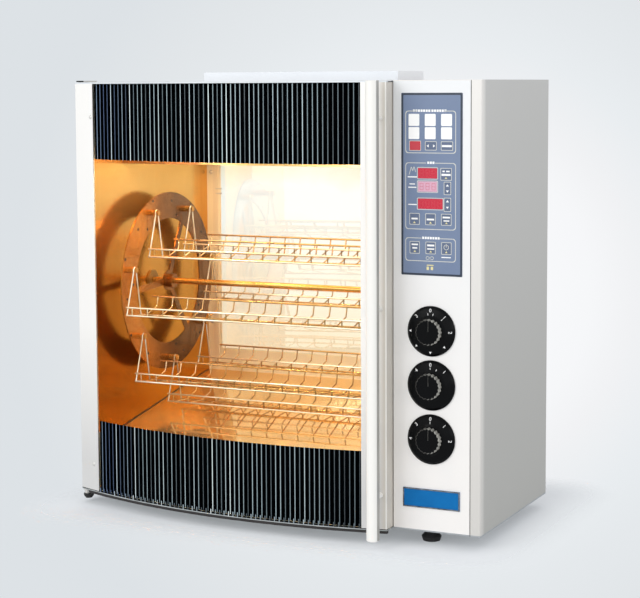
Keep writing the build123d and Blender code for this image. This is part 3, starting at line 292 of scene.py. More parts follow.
FINISHES = {
    # Powder coat on steel: flat warm grey, cloudy over 330 mm; paler upwards and on the column's rolled edge, painted
    # light
    "skin": coat(
        "powder coat, warm grey",
        ("B1B0AB", ("C9C8C5", PAINTED_LIGHT_CLIMB), ("BAB9B5", (333.3, 0.3, 0.7, 0.0, 0.2)),
         (("D2CFCA", ("EAE7E2", PAINTED_LIGHT_CLIMB)), ("Y", FACE_Y + 0.010, FACE_Y + 0.024, 1.0, 0.0))),
        (0.42, 0.5), 0.714, 0.05, 3.0, Specular_IOR_Level=0.3),
    # Stainless ground upright: nearly white, cloudy over 140 mm; cooler and darker upwards, painted shade
    "fascia": coat(
        "satin stainless fascia",
        ("FAF5EF", ("E4E6E7", PAINTED_LIGHT_CLIMB), ("E9E8E8", ((142.9, 142.9, 238.1), 0.3, 0.7, 0.0, 0.4))),
        (0.38, 0.52), (0.238, 0.238, 11.9), 0.06, Metallic=0.12),
    # The same on the stiles: darker near the floor and browner at the door's free edge beside the handle, painted
    # shade
    "stile": coat(
        "door stile, pale satin",
        ("D4D3D1", ("F4F2EE", ("Z", 0.10, 0.42)), ("D3CDC3", ("X", DOOR_RIGHT - 0.016, DOOR_RIGHT - 0.006))),
        (0.32, 0.46), (0.238, 0.238, 17.9), 0.04, Metallic=0.1),
    "steel": satin("brushed stainless", "DAD8D4", "CECCC7", 0.4),
    "cap": satin("pale satin cap", "E3E7EA", "D8DCDF", 0.1),
    # Window channel: cream, painted warm lamp light like the sheet round the window
    "channel": satin("window channel", "F2E8D8", "E4D6BE", 0.1),
    # Sheet round the rear window: cream inside, painted warm lamp light, the casing's grey outside
    "pale": coat(
        "window sheet, pale inside and grey outside",
        (("F8F0DE", ("F0E2C6", STREAKS)), (("BDBCB8", ("B2B1AD", STREAKS)), ("facing Y", 0.3, 0.6))),
        (0.34, 0.5), BRUSHED, 0.05, Metallic=0.05),
    # Rolled stainless gone amber with heat in clouds of 330 mm; paler upwards, painted lamp light from the ceiling,
    # and darker low at the door, painted shade of the rotor ring: long wavy mirrors of the lamps and the baskets
    "wall": coat(
        "chamber wall steel, heat tinted, painted light and shade",
        ("D89C48", ("E8BB78", ("Z", 0.15, 0.75)), ("C68E46", (333.3, 0.3, 0.7, 0.0, 0.35)),
         ("A8662A", ("Z", 0.48, 0.70, 0.85, 0.0), ("Y", CHAMBER_Y + 0.08, CHAMBER_Y + 0.30, 1.0, 0.25))),
        (0.14, 0.24), (2, 40, 2), 0.04, buckle=(400, 0.12, 0.01), Metallic=0.88, Specular_Tint=srgb("F0C890")),
    # The same steel under a film of hot fat: a near mirror with smears of 80 to 200 mm
    "floor": coat(
        "chamber floor steel, oiled", ("ECBC72", ("F8D8A4", ("grain",))), (0.03, 0.09), 200, 0.0, 4.0,
        buckle=((208.3, 83.33, 83.33), 0.05, 0.004), Metallic=0.8),
    # Baffle: straw steel in patches of 80 mm, darker brown at its left end, painted shade where its lip catches no
    # reflection
    "baffle": coat(
        "ceiling baffle steel, painted shade at one end",
        ("E9D2A0", ("D3B57C", (83.33,)), ("6E4626", ("X", -0.26, -0.17, 1.0, 0.0))),
        (0.25, 0.4), (16.67, 1.667, 1.667), Metallic=0.6),
    # Ring plates: straw brown at the door, darker towards the back, in patches of 110 mm
    "rotor": coat(
        "rotor plate, browned",
        (("D08A3E", ("A8682E", (111.1,))), (("8A6038", ("5E3C1E", (111.1,))), ("Y", ROTOR.y - 0.13, ROTOR.y + 0.03))),
        (0.18, 0.3), 1.667, 0.04, Metallic=0.8),
    "shaft": coat("shaft steel, straw tinted", ("D6A862", ("B98644", (71.43,))), (0.18, 0.3), GRAIN, 0.02,
                  Metallic=0.85),
    # Drawn and chromed wire: thin bright lines, golden where heat has tinted the chrome
    "wire": coat("basket wire", ("F7F1E8", ("DCC29A", ((125, 62.5, 62.5),))), (0.16, 0.26), 0.667, 0.02,
                 Metallic=0.7),
    # Back rails and cross wires: golden brown, heat tint with painted shade against the lit rear window, paler at
    # left end
    "gilded_and_shaded": coat(
        "basket wire, heat gilded and shaded",
        (("F0DFC4", ("C99C5C", ("grain",))), (("CBA267", ("A27A43", ("grain",))), ("X", -0.36, -0.20))),
        (0.16, 0.28), (100, 50, 50), detail=3.0, Metallic=0.9),
    # Moulded plastic: black with a soft coat
    "black": coat("moulded black plastic", ("141416", ("1C1C1E", (33.33,))), (0.3, 0.42), 0.417, 0.05,
                  Coat_Weight=0.15, Coat_Roughness=0.3),
    # Gloss plastic with a painted highlight along the flanks of the ridged grip, strongest on the right side, uneven
    # over 6 mm
    "dial": coat(
        "gloss black dial, highlit ridges",
        ("030304", ("C2C0B8", ("square Y", 0.72, 0.8, 1.0, 0.0), ("Y", FACE_Y - 0.0125, FACE_Y - 0.0115, 1.0, 0.0),
                    ("facing X", 0.0, 0.7, 0.15, 1.0), (6.25, 0.3, 0.7, 0.5, 1.0))),
        (0.2, 0.3), 0.455, 0.04, 3.0, Specular_IOR_Level=0.12),
    # Rubber and silicone: dull, nearly black
    "rubber": coat("black rubber", ("121212", ("1B1A19", (25,))), (0.6, 0.75), 0.455, 0.1),
    "silicone": coat("dark silicone", ("1F1C1B", ("2A2523", (33.33,))), (0.5, 0.62), FINE_GRAIN, 0.06),
    # Drawn aluminium under white lacquer: smooth, the die's lines just show, darker on the flank at the column,
    # painted shade
    "handle": coat(
        "warm white handle finish",
        ("F8F6F1", ("F0EEE8", ((333.3, 333.3, 1667),)),
         ("8E8B84", ("facing X", 0.82, 0.97, 0.0, 0.8), ("Y", HANDLE_BACK, HANDLE_BACK + 0.0004, 1.0, 0.0))),
        (0.3, 0.4), (0.185, 0.185, 22.2), 0.03),
    # Vitreous enamel: smooth cool white in clouds of 170 mm, whiter on its right end, painted light
    "cover": coat(
        "white enamelled cover", ("E6E9ED", ("E1E4E8", (166.7,)), ("FDFDFF", ("facing X", 0.7, 0.9))),
        (0.3, 0.4), GRAIN, 0.03, 3.0),
    # Fired ceramic print: black without a highlight of its own, since the glass before it shines
    "print": coat("black ceramic print", ("010102", ("020305", (71.43,))), (0.5, 0.6), 16.67,
                  Specular_IOR_Level=0.0),
    "gaps": gap_lines,
    # The same print over a steel sill whose lower 2 mm are bare: a bright line, paler and darker by turns every 30 mm
    "sill": coat(
        "door sill, black with a bright edge",
        ("030406", (("B9BEBE", ("8D9292", (33.33,))), ("Z", SILL_Z + 0.0019, SILL_Z + 0.0022, 1.0, 0.0))),
        0.5, Specular_IOR_Level=0.05),
    # Float glass: the door's is clear, the domes are warm, the rear one mirrors the lit chamber through its amber
    # tint, a painted reflection
    "glass": pane("door pane", "FCFEFD", (0.0, 0.10), (0.25, 1.0), smear=(0.8, 1.1)),
    "lamp": pane("lamp dome glass", "FFF2DC", (0.10, 0.20), (0.25, 1.0), smear=(0.8, 1.1)),
    "rear": pane("rear pane, painted reflection tint", rear_tint, (0.22, 0.6), (0.06, 1.0), 0.3, 0.01, (1, 0.95, 0.88, 1)),
    "bulb": lit_bulb,
    # Embossed polyester foil: slate blue with a fine tooth
    "foil": coat("keypad foil", ("73839F", ("6C7D9B", (166.7,))), (0.38, 0.5), 0.385, 0.08),
    # Tinted acrylic: glowing red, washed pink where the middle window's segments are lit behind it
    "lens": coat(
        "display window, red",
        ("C0243A", ("CFA0B4", ("Z", PINK_Z - 0.0125, PINK_Z - 0.0120),
                    ("Z", PINK_Z + 0.0120, PINK_Z + 0.0125, 1.0, 0.0))),
        (0.2, 0.3), 3.333, detail=3.0, Emission_Strength=0.15),
    "navy": enamel("navy printed border", "26303F", "2C3748"),
    "field": enamel("dusk blue key field", "5F6D88", "586681"),
    "white": enamel("white print", "FBFBF9", "F4F4F2"),
    "cream": enamel("cream line print", "D9D8CE", "CFCFC8"),
    "red": enamel("red print", "C8303F", "BE2A3A"),
    "amber": enamel("pale amber indicator", "EADFA6", "DFD295"),
    "board": enamel("circuit board mask", "14502C", "0F4424"),
    # Baked enamel with little shine, in a chromed rim whose colour is a painted reflection, dark and light in patches
    # of 11 mm
    "badge": coat("blue badge enamel", ("0667A8", ("0870B4", (40,))), (0.35, 0.45), GRAIN, 0.03,
                  Specular_IOR_Level=0.15),
    "rim": coat("badge rim, chromed", ("9A9C9C", ("202426", (11.11,))), (0.2, 0.3), GRAIN, 0.03, Metallic=0.8),
    # Hidden and small parts: spangled zinc, scaled sheath, glass wool, bronze, casting, painted crease shade, shade
    # in a hole
    "zinc": coat("zinc coated sheet", ("B4B8BA", ("A4A8AB", (16.67,))), (0.35, 0.5), GRAIN, 0.05, Metallic=0.6),
    "element": coat("element sheath", ("5A3E2C", ("402C20", (25,))), (0.45, 0.6), GRAIN, 0.08, Metallic=0.5),
    "wool": coat("mineral wool", ("C9B98A", ("B8A878", (12.5,))), (0.9, 1.0), GRAIN, 0.6, depth=0.002),
    "bronze": coat("sintered bronze", ("A88148", ("93703C", (16.67,))), (0.35, 0.5), GRAIN, 0.05, Metallic=0.8),
    "cast": coat("die cast housing", ("9DA0A2", ("8C8F92", (20,))), (0.45, 0.6), GRAIN, 0.12, Metallic=0.4),
    "tar": coat("painted crease shade", ("3A2212", ("52301A", (25,))), (0.3, 0.5), GRAIN, 0.2),
    "hole": coat("dark hole", ("1A0F08", ("241509", (16.67,))), (0.6, 0.7), GRAIN, 0.02),
    "groove": coat("dark seam", ("3A3836", ("2E2C2B", (16.67,))), (0.6, 0.7), GRAIN, 0.02),
}


@lru_cache(maxsize=None)
def finish(key):
    """The named finish, made once."""
    return FINISHES[key]()


NODE_FINISH = {
    "skin": ("control_side_panel", "left_side_panel", "top_panel", "control_back_panel"),
    "fascia": ("control_fascia",),
    "stile": ("door_left_stile", "door_right_stile"),
    "cap": ("door_top_cap",),
    "sill": ("door_bottom_cap",),
    "cover": ("vent_cover",),
    "steel": ("chamber_front_frame", "rear_glass_frame", "door_inner_frame", "door_hinges", "fan_wheel",
              "heater_brackets", "temperature_probe"),
    "wall": ("left_liner", "right_liner", "cavity_ceiling"),
    "baffle": ("ceiling_baffle",),
    "floor": ("cavity_floor",),
    "pale": ("back_panel",),
    "rotor": ("left_drive_ring", "right_drive_ring"),
    "shaft": ("main_shaft", "basket_pins"),
    "zinc": ("base_plate", "column_partition"),
    "dial": ("upper_knob", "middle_knob", "lower_knob"),
    "black": ("cable_gland", "thermostat_body", "timer_body", "selector_switch"),
    "rubber": ("feet",),
    "silicone": ("door_gasket", "door_bottom_seal"),
    "glass": ("door_glass",),
    "rear": ("rear_glass",),
    "handle": ("door_handle",),
    "foil": ("keypad_overlay",),
    "lens": ("display_lenses",),
    "lamp": ("lamp_covers",),
    "bulb": ("lamp_sockets",),
    "element": ("heating_elements",),
    "board": ("control_board",),
    "badge": ("badge_plate",),
    "wool": ("insulation",),
    "bronze": ("rotor_bearings",),
    "cast": ("drive_motor", "fan_motor"),
}


# Mesh helpers


def loft(bm, rings):
    """A closed skin over rings of points."""
    rings = [[bm.verts.new(point) for point in ring] for ring in rings]
    for one, two in zip(rings, rings[1:]):
        for k in range(len(one)):
            j = (k + 1) % len(one)
            bm.faces.new((one[k], one[j], two[j], two[k]))
    bm.faces.new(rings[0])
    bm.faces.new(list(reversed(rings[-1])))


def tube(bm, points, radius, sides=8):
    """A round wire along straight runs with mitred corners."""
    points = [Vector(p) for p in points]
    rings = []
    for i, point in enumerate(points):
        before = (point - points[i - 1]).normalized() if i else None
        after = (points[i + 1] - point).normalized() if i + 1 < len(points) else None
        run = after or before
        along = ((before or after) + run).normalized()
        stretch = 1.0 / max(0.5, along.dot(run))
        side = run.cross(Vector((1, 0, 0)))
        side = side.normalized() if side.length > 0.1 else Vector((0, 1, 0))
        up = run.cross(side).normalized()
        tilt = (after - before).normalized() if before and after else Vector((0, 0, 0))
        ring = []
        for k in range(sides):
            a = 2 * math.pi * k / sides
            off = (side * math.cos(a) + up * math.sin(a)) * radius
            off -= along * off.dot(along)
            off += tilt * off.dot(tilt) * (stretch - 1.0)
            ring.append(point + off)
        rings.append(ring)
    loft(bm, rings)


def bowed(bm, x0, x1, outer, inner, z0, z1, steps=48):
    """A curved wall that follows the door's bow."""
    rings = []
    for i in range(steps + 1):
        x = x0 + (x1 - x0) * i / steps
        yo, yi = door_y(x, outer), door_y(x, inner)
        rings.append(((x, yo, z0), (x, yo, z1), (x, yi, z1), (x, yi, z0)))
    loft(bm, rings)


def corners(x0, x1, z0, z1):
    """Corner points of a rectangle, anticlockwise seen from the front."""
    return [(x0, z0), (x1, z0), (x1, z1), (x0, z1)]


def rounded(x0, x1, z0, z1, radius, steps=4):
    """Corner points of a rectangle with rounded corners, anticlockwise seen from the front."""
    points = []
    inner = corners(x0 + radius, x1 - radius, z0 + radius, z1 - radius)
    for (cx, cz), start in zip(inner[1:] + inner[:1], (-90, 0, 90, 180)):
        for k in range(steps + 1):
            a = math.radians(start + 90 * k / steps)
            points.append((cx + radius * math.cos(a), cz + radius * math.sin(a)))
    return points


def slab(bm, points, y_front, y_back):
    """A flat plate with the outline points in X and Z."""
    loft(bm, [[(x, y, z) for x, z in points] for y in (y_front, y_back)])


def outline(bm, points, width, y_front, y_back, skip=()):
    """A printed line of one width along a closed outline. Runs named in skip are left out."""
    xs, zs = zip(*points)
    cx, cz = sum(xs) / len(xs), sum(zs) / len(zs)
    kx = 1 - 2 * width / (max(xs) - min(xs))
    kz = 1 - 2 * width / (max(zs) - min(zs))
    inner = [(cx + (x - cx) * kx, cz + (z - cz) * kz) for x, z in points]
    for i in range(len(points)):
        j = (i + 1) % len(points)
        if i not in skip:
            slab(bm, [points[i], points[j], inner[j], inner[i]], y_front, y_back)


def screw_head(radius, rise, steps=4, sides=20):
    """A domed head about the origin that faces -Y."""
    bm = bmesh.new()
    turns = [2 * math.pi * k / sides for k in range(sides)]
    rings = []
    for i in range(steps):
        a = math.pi / 2 * i / steps
        r, y = radius * math.cos(a), -rise * math.sin(a)
        rings.append([(r * math.cos(t), y, r * math.sin(t)) for t in turns])
    loft(bm, rings)
    return bm


# Pieces from meshes


def placed(name, data):
    """A new object in the scene."""
    obj = bpy.data.objects.new(name, data)
    bpy.context.scene.collection.objects.link(obj)
    return obj


def skinned(name, bm, smooth=None):
    """Turns a bmesh into a mesh with its faces outwards, smooth below an angle in degrees."""
    bmesh.ops.recalc_face_normals(bm, faces=bm.faces)
    mesh = bpy.data.meshes.new(name)
    bm.to_mesh(mesh)
    bm.free()
    if smooth is not None:
        mesh.polygons.foreach_set("use_smooth", [True] * len(mesh.polygons))
        mesh.set_sharp_from_angle(angle=math.radians(smooth))
    return mesh


def ride(name, mesh, key, body):
    """Makes a mesh a piece that rides on a body."""
    obj = placed(name, mesh)
    if not mesh.materials:
        mesh.materials.append(finish(key))
    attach(obj, body)
    return obj


@contextmanager
def piece(name, key, body="oven", slot=None, smooth=None):
    """Opens an empty bmesh and, once it is filled, keeps it as a piece."""
    bm = bmesh.new()
    yield bm
    ride(name, skinned(name, bm, smooth), key, body)


def repeat_tree(title):
    """Copies the incoming mesh along a row and round an axis, gives each copy a shade and a material."""
    tree = bpy.data.node_groups.new(title, "GeometryNodeTree")
    for name, kind in (("Geometry", "Geometry"), ("Count", "Int"), ("Centre", "Vector"), ("Step", "Vector"),
                       ("Axis", "Vector"), ("Turn", "Float"), ("Seed", "Int"), ("Material", "Material")):
        tree.interface.new_socket(name, in_out="INPUT", socket_type="NodeSocket" + kind)
    tree.interface.new_socket("Geometry", in_out="OUTPUT", socket_type="NodeSocketGeometry")
    come = add(tree, "NodeGroupInput").outputs
    row = add(tree, "GeometryNodeMeshLine", Count=come["Count"], Start_Location=come["Centre"],
              Offset=come["Step"])
    order = add(tree, "GeometryNodeInputIndex")
    angle = add(tree, "Math", {"operation": "MULTIPLY"}, i0=order, i1=come["Turn"])
    turned = add(tree, "FunctionNodeAxisAngleToRotation", Axis=come["Axis"], Angle=angle)
    units = add(tree, "GeometryNodeInstanceOnPoints", Points=row, Instance=come["Geometry"], Rotation=turned)
    chance = add(tree, "FunctionNodeRandomValue", {"data_type": "FLOAT"}, Seed=come["Seed"])
    shaded = add(tree, "GeometryNodeStoreNamedAttribute", {"data_type": "FLOAT", "domain": "INSTANCE"},
                 Geometry=units, Name="shade", Value=chance)
    real = add(tree, "GeometryNodeRealizeInstances", Geometry=shaded)
    done = add(tree, "GeometryNodeSetMaterial", Geometry=real, Material=come["Material"])
    add(tree, "NodeGroupOutput", Geometry=done)
    return tree


def copies(name, bm, key, body, count, centre, step=(0, 0, 0), axis=(0, 0, 1), turn=0.0, seed=1, smooth=None):
    """Repeats a small mesh through Geometry Nodes and keeps the result as one plain mesh."""
    title = "copies along a row and round an axis"
    tree = bpy.data.node_groups.get(title) or repeat_tree(title)
    host = placed(name + " unit", skinned(name + " unit", bm, smooth))
    modifier = host.modifiers.new("copies", "NODES")
    modifier.node_group = tree
    values = {"Count": count, "Centre": centre, "Step": step, "Axis": axis, "Turn": turn, "Seed": seed,
              "Material": finish(key)}
    for socket in tree.interface.items_tree:
        if socket.in_out == "INPUT" and socket.name in values:
            modifier[socket.identifier] = values[socket.name]
    host.update_tag()
    bpy.context.view_layer.update()
    ready = host.evaluated_get(bpy.context.evaluated_depsgraph_get())
    mesh = bpy.data.meshes.new_from_object(ready)
    mesh.name = name
    host.modifiers.remove(modifier)
    bpy.data.objects.remove(host)
    return ride(name, mesh, key, body)


# Pieces


def length(name, description, default):
    """A size of the detail, in metres."""
    return FloatProperty(name=name, description=description, default=default, unit="LENGTH")


def power(name, description, default):
    """The power of a light, in watts."""
    return FloatProperty(name=name, description=description, default=default, subtype="POWER")


class OvenSettings(bpy.types.PropertyGroup):
    """Sizes of the visible detail and the light."""

    band_low: length("Upper band's lower edge", "Height at which the upper black print ends", 0.788)
    band_high: length("Lower band's upper edge", "Height at which the lower black print ends", 0.1948)
    band_left: length("Bands' left edge", "X at which the print meets the left stile", -0.4325)
    band_right: length("Bands' right edge", "X at which the print meets the right stile", 0.2455)
    gaps_left: IntProperty(
        name="Gaps in a band's left half", description="Clear lines left in the print, counted in the photo",
        default=28)
    gaps_right: IntProperty(
        name="Gaps in a band's right half", description="Clear lines left in the print, counted in the photo",
        default=31)
    gap_width: length("Width of a gap", "Width of one clear line in the print", 0.0019)
    wire: length("Basket wire", "Diameter of the cross wires; the hangers are 0.5 mm thicker", 0.0032)
    rail: length("Basket rail", "Diameter of the rails", 0.0042)
    screw: length("Screw head radius", "Radius of every visible domed screw head", 0.0048)
    sky: FloatProperty(name="Surrounding light", description="Strength of the even light all round", default=0.78)
    key_light: power("Key light", "Large softbox at the front left", 55.0)
    fill_light: power("Fill light", "Softboxes at the front right and overhead", 12.0)
    side_light: power("Side light", "Softbox that lights the column's side", 14.0)
    lamp_light: power("Oven lamps", "Each of the oven's two lit bulbs", 3.0)
    glow_light: power("Chamber glow", "Light that the hot ceiling sends down", 2.4)
    lamp_tint: FloatVectorProperty(
        name="Lamp colour", description="Colour of the bulbs and the glow", subtype="COLOR",
        default=(1.0, 0.74, 0.44))


class OVEN_OT_finishes(bpy.types.Operator):
    """Give every CAD node the finish of its real material"""

    bl_idname = "oven.finishes"
    bl_label = "Finishes"

    def execute(self, context):
        for key, nodes in NODE_FINISH.items():
            for node in nodes:
                mesh = NODES[node].data
                mesh.materials.clear()
                mesh.materials.append(finish(key))
        hinges = NODES["door_hinges"].data
        hinges.materials.append(finish("rubber"))
        for face in hinges.polygons:
            pivot_cap = face.center.z < BASE_Z - 0.0105
            plate_edge = face.center.z > TOP_Z and face.normal.y < -0.5
            if pivot_cap or plate_edge:
                face.material_index = 1
        return {"FINISHED"}


class OVEN_OT_door_print(bpy.types.Operator):
    """Print the two black bands with their upright gaps on the inside of the pane"""

    bl_idname = "oven.door_print"
    bl_label = "Door print"

    def execute(self, context):
        s = context.scene.oven
        glass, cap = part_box("door_glass"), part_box("door_bottom_cap")
        inset = 0.0005
        for label, z0, z1 in (("upper", s.band_low, glass[1].z - inset), ("lower", glass[0].z + inset, s.band_high)):
            with piece("door_print_" + label, "print", "door", "clear_glass", 40) as bm:
                bowed(bm, s.band_left, s.band_right, -0.0062, -0.0064, z0, z1)
            self.gaps(s, "door_print_gaps_" + label, -0.0060, -0.0061, z0, z1, "clear_glass")
        self.gaps(s, "sill_print_gaps", 0.0018, 0.0016, cap[0].z + 0.0022, cap[1].z, "stainless")
        return {"FINISHED"}

    def gaps(self, s, name, outer, inner, z0, z1, slot):
        """Upright lines across the door, a little closer together in its right half."""
        start = math.asin((s.band_left - DOOR_X) / DOOR_R)
        sweep = math.asin((s.band_right - DOOR_X) / DOOR_R) - start
        half = s.gap_width / 2 / DOOR_R
        for side, origin, count, seed in (("left", start, s.gaps_left, 7),
                                          ("right", start + sweep / 2, s.gaps_right, 11)):
            turn = sweep / 2 / count
            first = origin + 0.5 * turn
            ring = [((DOOR_R + offset) * math.sin(first + edge), -(DOOR_R + offset) * math.cos(first + edge))
                    for offset, edge in ((outer, -half), (outer, half), (inner, half), (inner, -half))]
            bm = bmesh.new()
            loft(bm, [[(x, y, z) for x, y in ring] for z in (z0, z1)])
            copies(name + "_" + side, bm, "gaps", "door", count, (DOOR_X, DOOR_Y, 0), turn=turn, seed=seed)


class OVEN_OT_door_trim(bpy.types.Operator):
    """Add the stile's seam and screws, a painted shadow beside each screw and a painted highlight along the door's
    free edge
    """

    bl_idname = "oven.door_trim"
    bl_label = "Door trim"

    def execute(self, context):
        s = context.scene.oven
        z0, z1 = low("door_right_stile").z, high("door_right_stile").z
        with piece("door_stile_seam", "groove", "door") as bm:
            bowed(bm, 0.2555, 0.2563, 0.00165, 0.0014, z0, z1, 2)
        # A light strip at the door's free edge: painted highlight
        with piece("door_edge_highlight", "handle", "door", "stainless") as bm:
            bowed(bm, 0.2955, 0.2979, 0.0019, 0.0014, z0, z1, 2)
        for label, x, z in (("upper", -0.439, 0.882), ("lower", -0.448, 0.094)):
            y = door_y(x, 0.0015)
            for name, head, key, spot in (
                # A dark disc offset beside each screw: its painted shadow
                ("stile_screw_shadow_", screw_head(1.3 * s.screw, 0.0008), "groove", (x + 0.0022, y + 0.0010, z)),
                ("stile_screw_", screw_head(s.screw, 0.0022), "steel", (x, y + 0.0002, z)),
            ):
                copies(name + label, head, key, "door", 1, spot, smooth=40)
        return {"FINISHED"}


class OVEN_OT_baskets(bpy.types.Operator):
    """Build the welded round wire baskets in place of their square CAD wires"""

    bl_idname = "oven.baskets"
    bl_label = "Wire baskets"

    # Y and Z from the pin along a cross wire, the pin's place under the basket's box, and the eye round the pin
    path = ((-0.037, -0.082), (-0.037, -0.100), (0.024, -0.105), (0.072, -0.091), (0.078, -0.069))
    pin_back, pin_drop = 0.0796, 0.008
    eye_radius = 0.0061
    wires, end_space = 15, 0.014

    def execute(self, context):
        s = context.scene.oven
        radius = s.wire / 2
        for name in BASKETS:
            lo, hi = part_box(name)
            pin_y, pin_z = hi.y - self.pin_back, hi.z - self.pin_drop
            x0, x1 = lo.x + radius, hi.x - radius
            path = [(pin_y + y, pin_z + z) for y, z in self.path]
            for part_name, key, rails in (("front", "wire", (0, 1)), ("back", "gilded_and_shaded", (2, 4))):
                with piece("%s_%s_rails" % (name, part_name), key, name, "wire_steel", 50) as bm:
                    for rail in rails:
                        tube(bm, [(x, *path[rail]) for x in (lo.x, hi.x)], s.rail / 2)
            turns = [math.radians(30 * k) for k in range(-4, 5)]
            eye = [(pin_y + self.eye_radius * math.sin(a), pin_z + self.eye_radius * math.cos(a)) for a in turns]
            with piece(name + "_hangers", "wire", name, "wire_steel", 50) as bm:
                for x in (x0, x1):
                    tube(bm, [(x, y, z) for y, z in [path[1]] + eye + [path[2]]], radius + 0.00025)
            bm = bmesh.new()
            tube(bm, [(0, y, z) for y, z in self.path], radius * 0.95)
            step = (x1 - x0 - 2 * self.end_space) / (self.wires - 1)
            wires = copies(name + "_wires", bm, "gilded_and_shaded", name, self.wires, (x0 + self.end_space, pin_y, pin_z),
                           (step, 0, 0), smooth=50)
            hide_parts(name)
        return {"FINISHED"}


class OVEN_OT_rotor_marks(bpy.types.Operator):
    """Add the small holes of the ring plates as dark discs, painted shade in the openings"""

    bl_idname = "oven.rotor_marks"
    bl_label = "Ring holes"

    # Radius from the shaft and angle in degrees of the first hole of each set
    sets = (("rim", 0.1905, -46.0), ("inner", 0.1602, -36.3), ("edge", 0.2058, -19.4))
    hole_radius = 0.0030

    def execute(self, context):
        count = len(BASKETS)
        for label, x, way in (("left", low("left_drive_ring").x + 0.003, 1),
                              ("right", high("right_drive_ring").x - 0.003, -1)):
            for set_name, radius, angle in self.sets:
                bm = bmesh.new()
                a = math.radians(angle)
                move = Matrix.Translation((way * 0.00012, radius * math.sin(a), radius * math.cos(a)))
                bmesh.ops.create_cone(bm, cap_ends=True, segments=16, radius1=self.hole_radius,
                                      radius2=self.hole_radius, depth=0.0003,
                                      matrix=move @ Matrix.Rotation(math.pi / 2, 4, "Y"))
                copies("ring_holes_" + label + "_" + set_name, bm, "hole", "rotor", count, (x, ROTOR.y, ROTOR.z),
                       axis=(1, 0, 0), turn=-2 * math.pi / count)
        return {"FINISHED"}


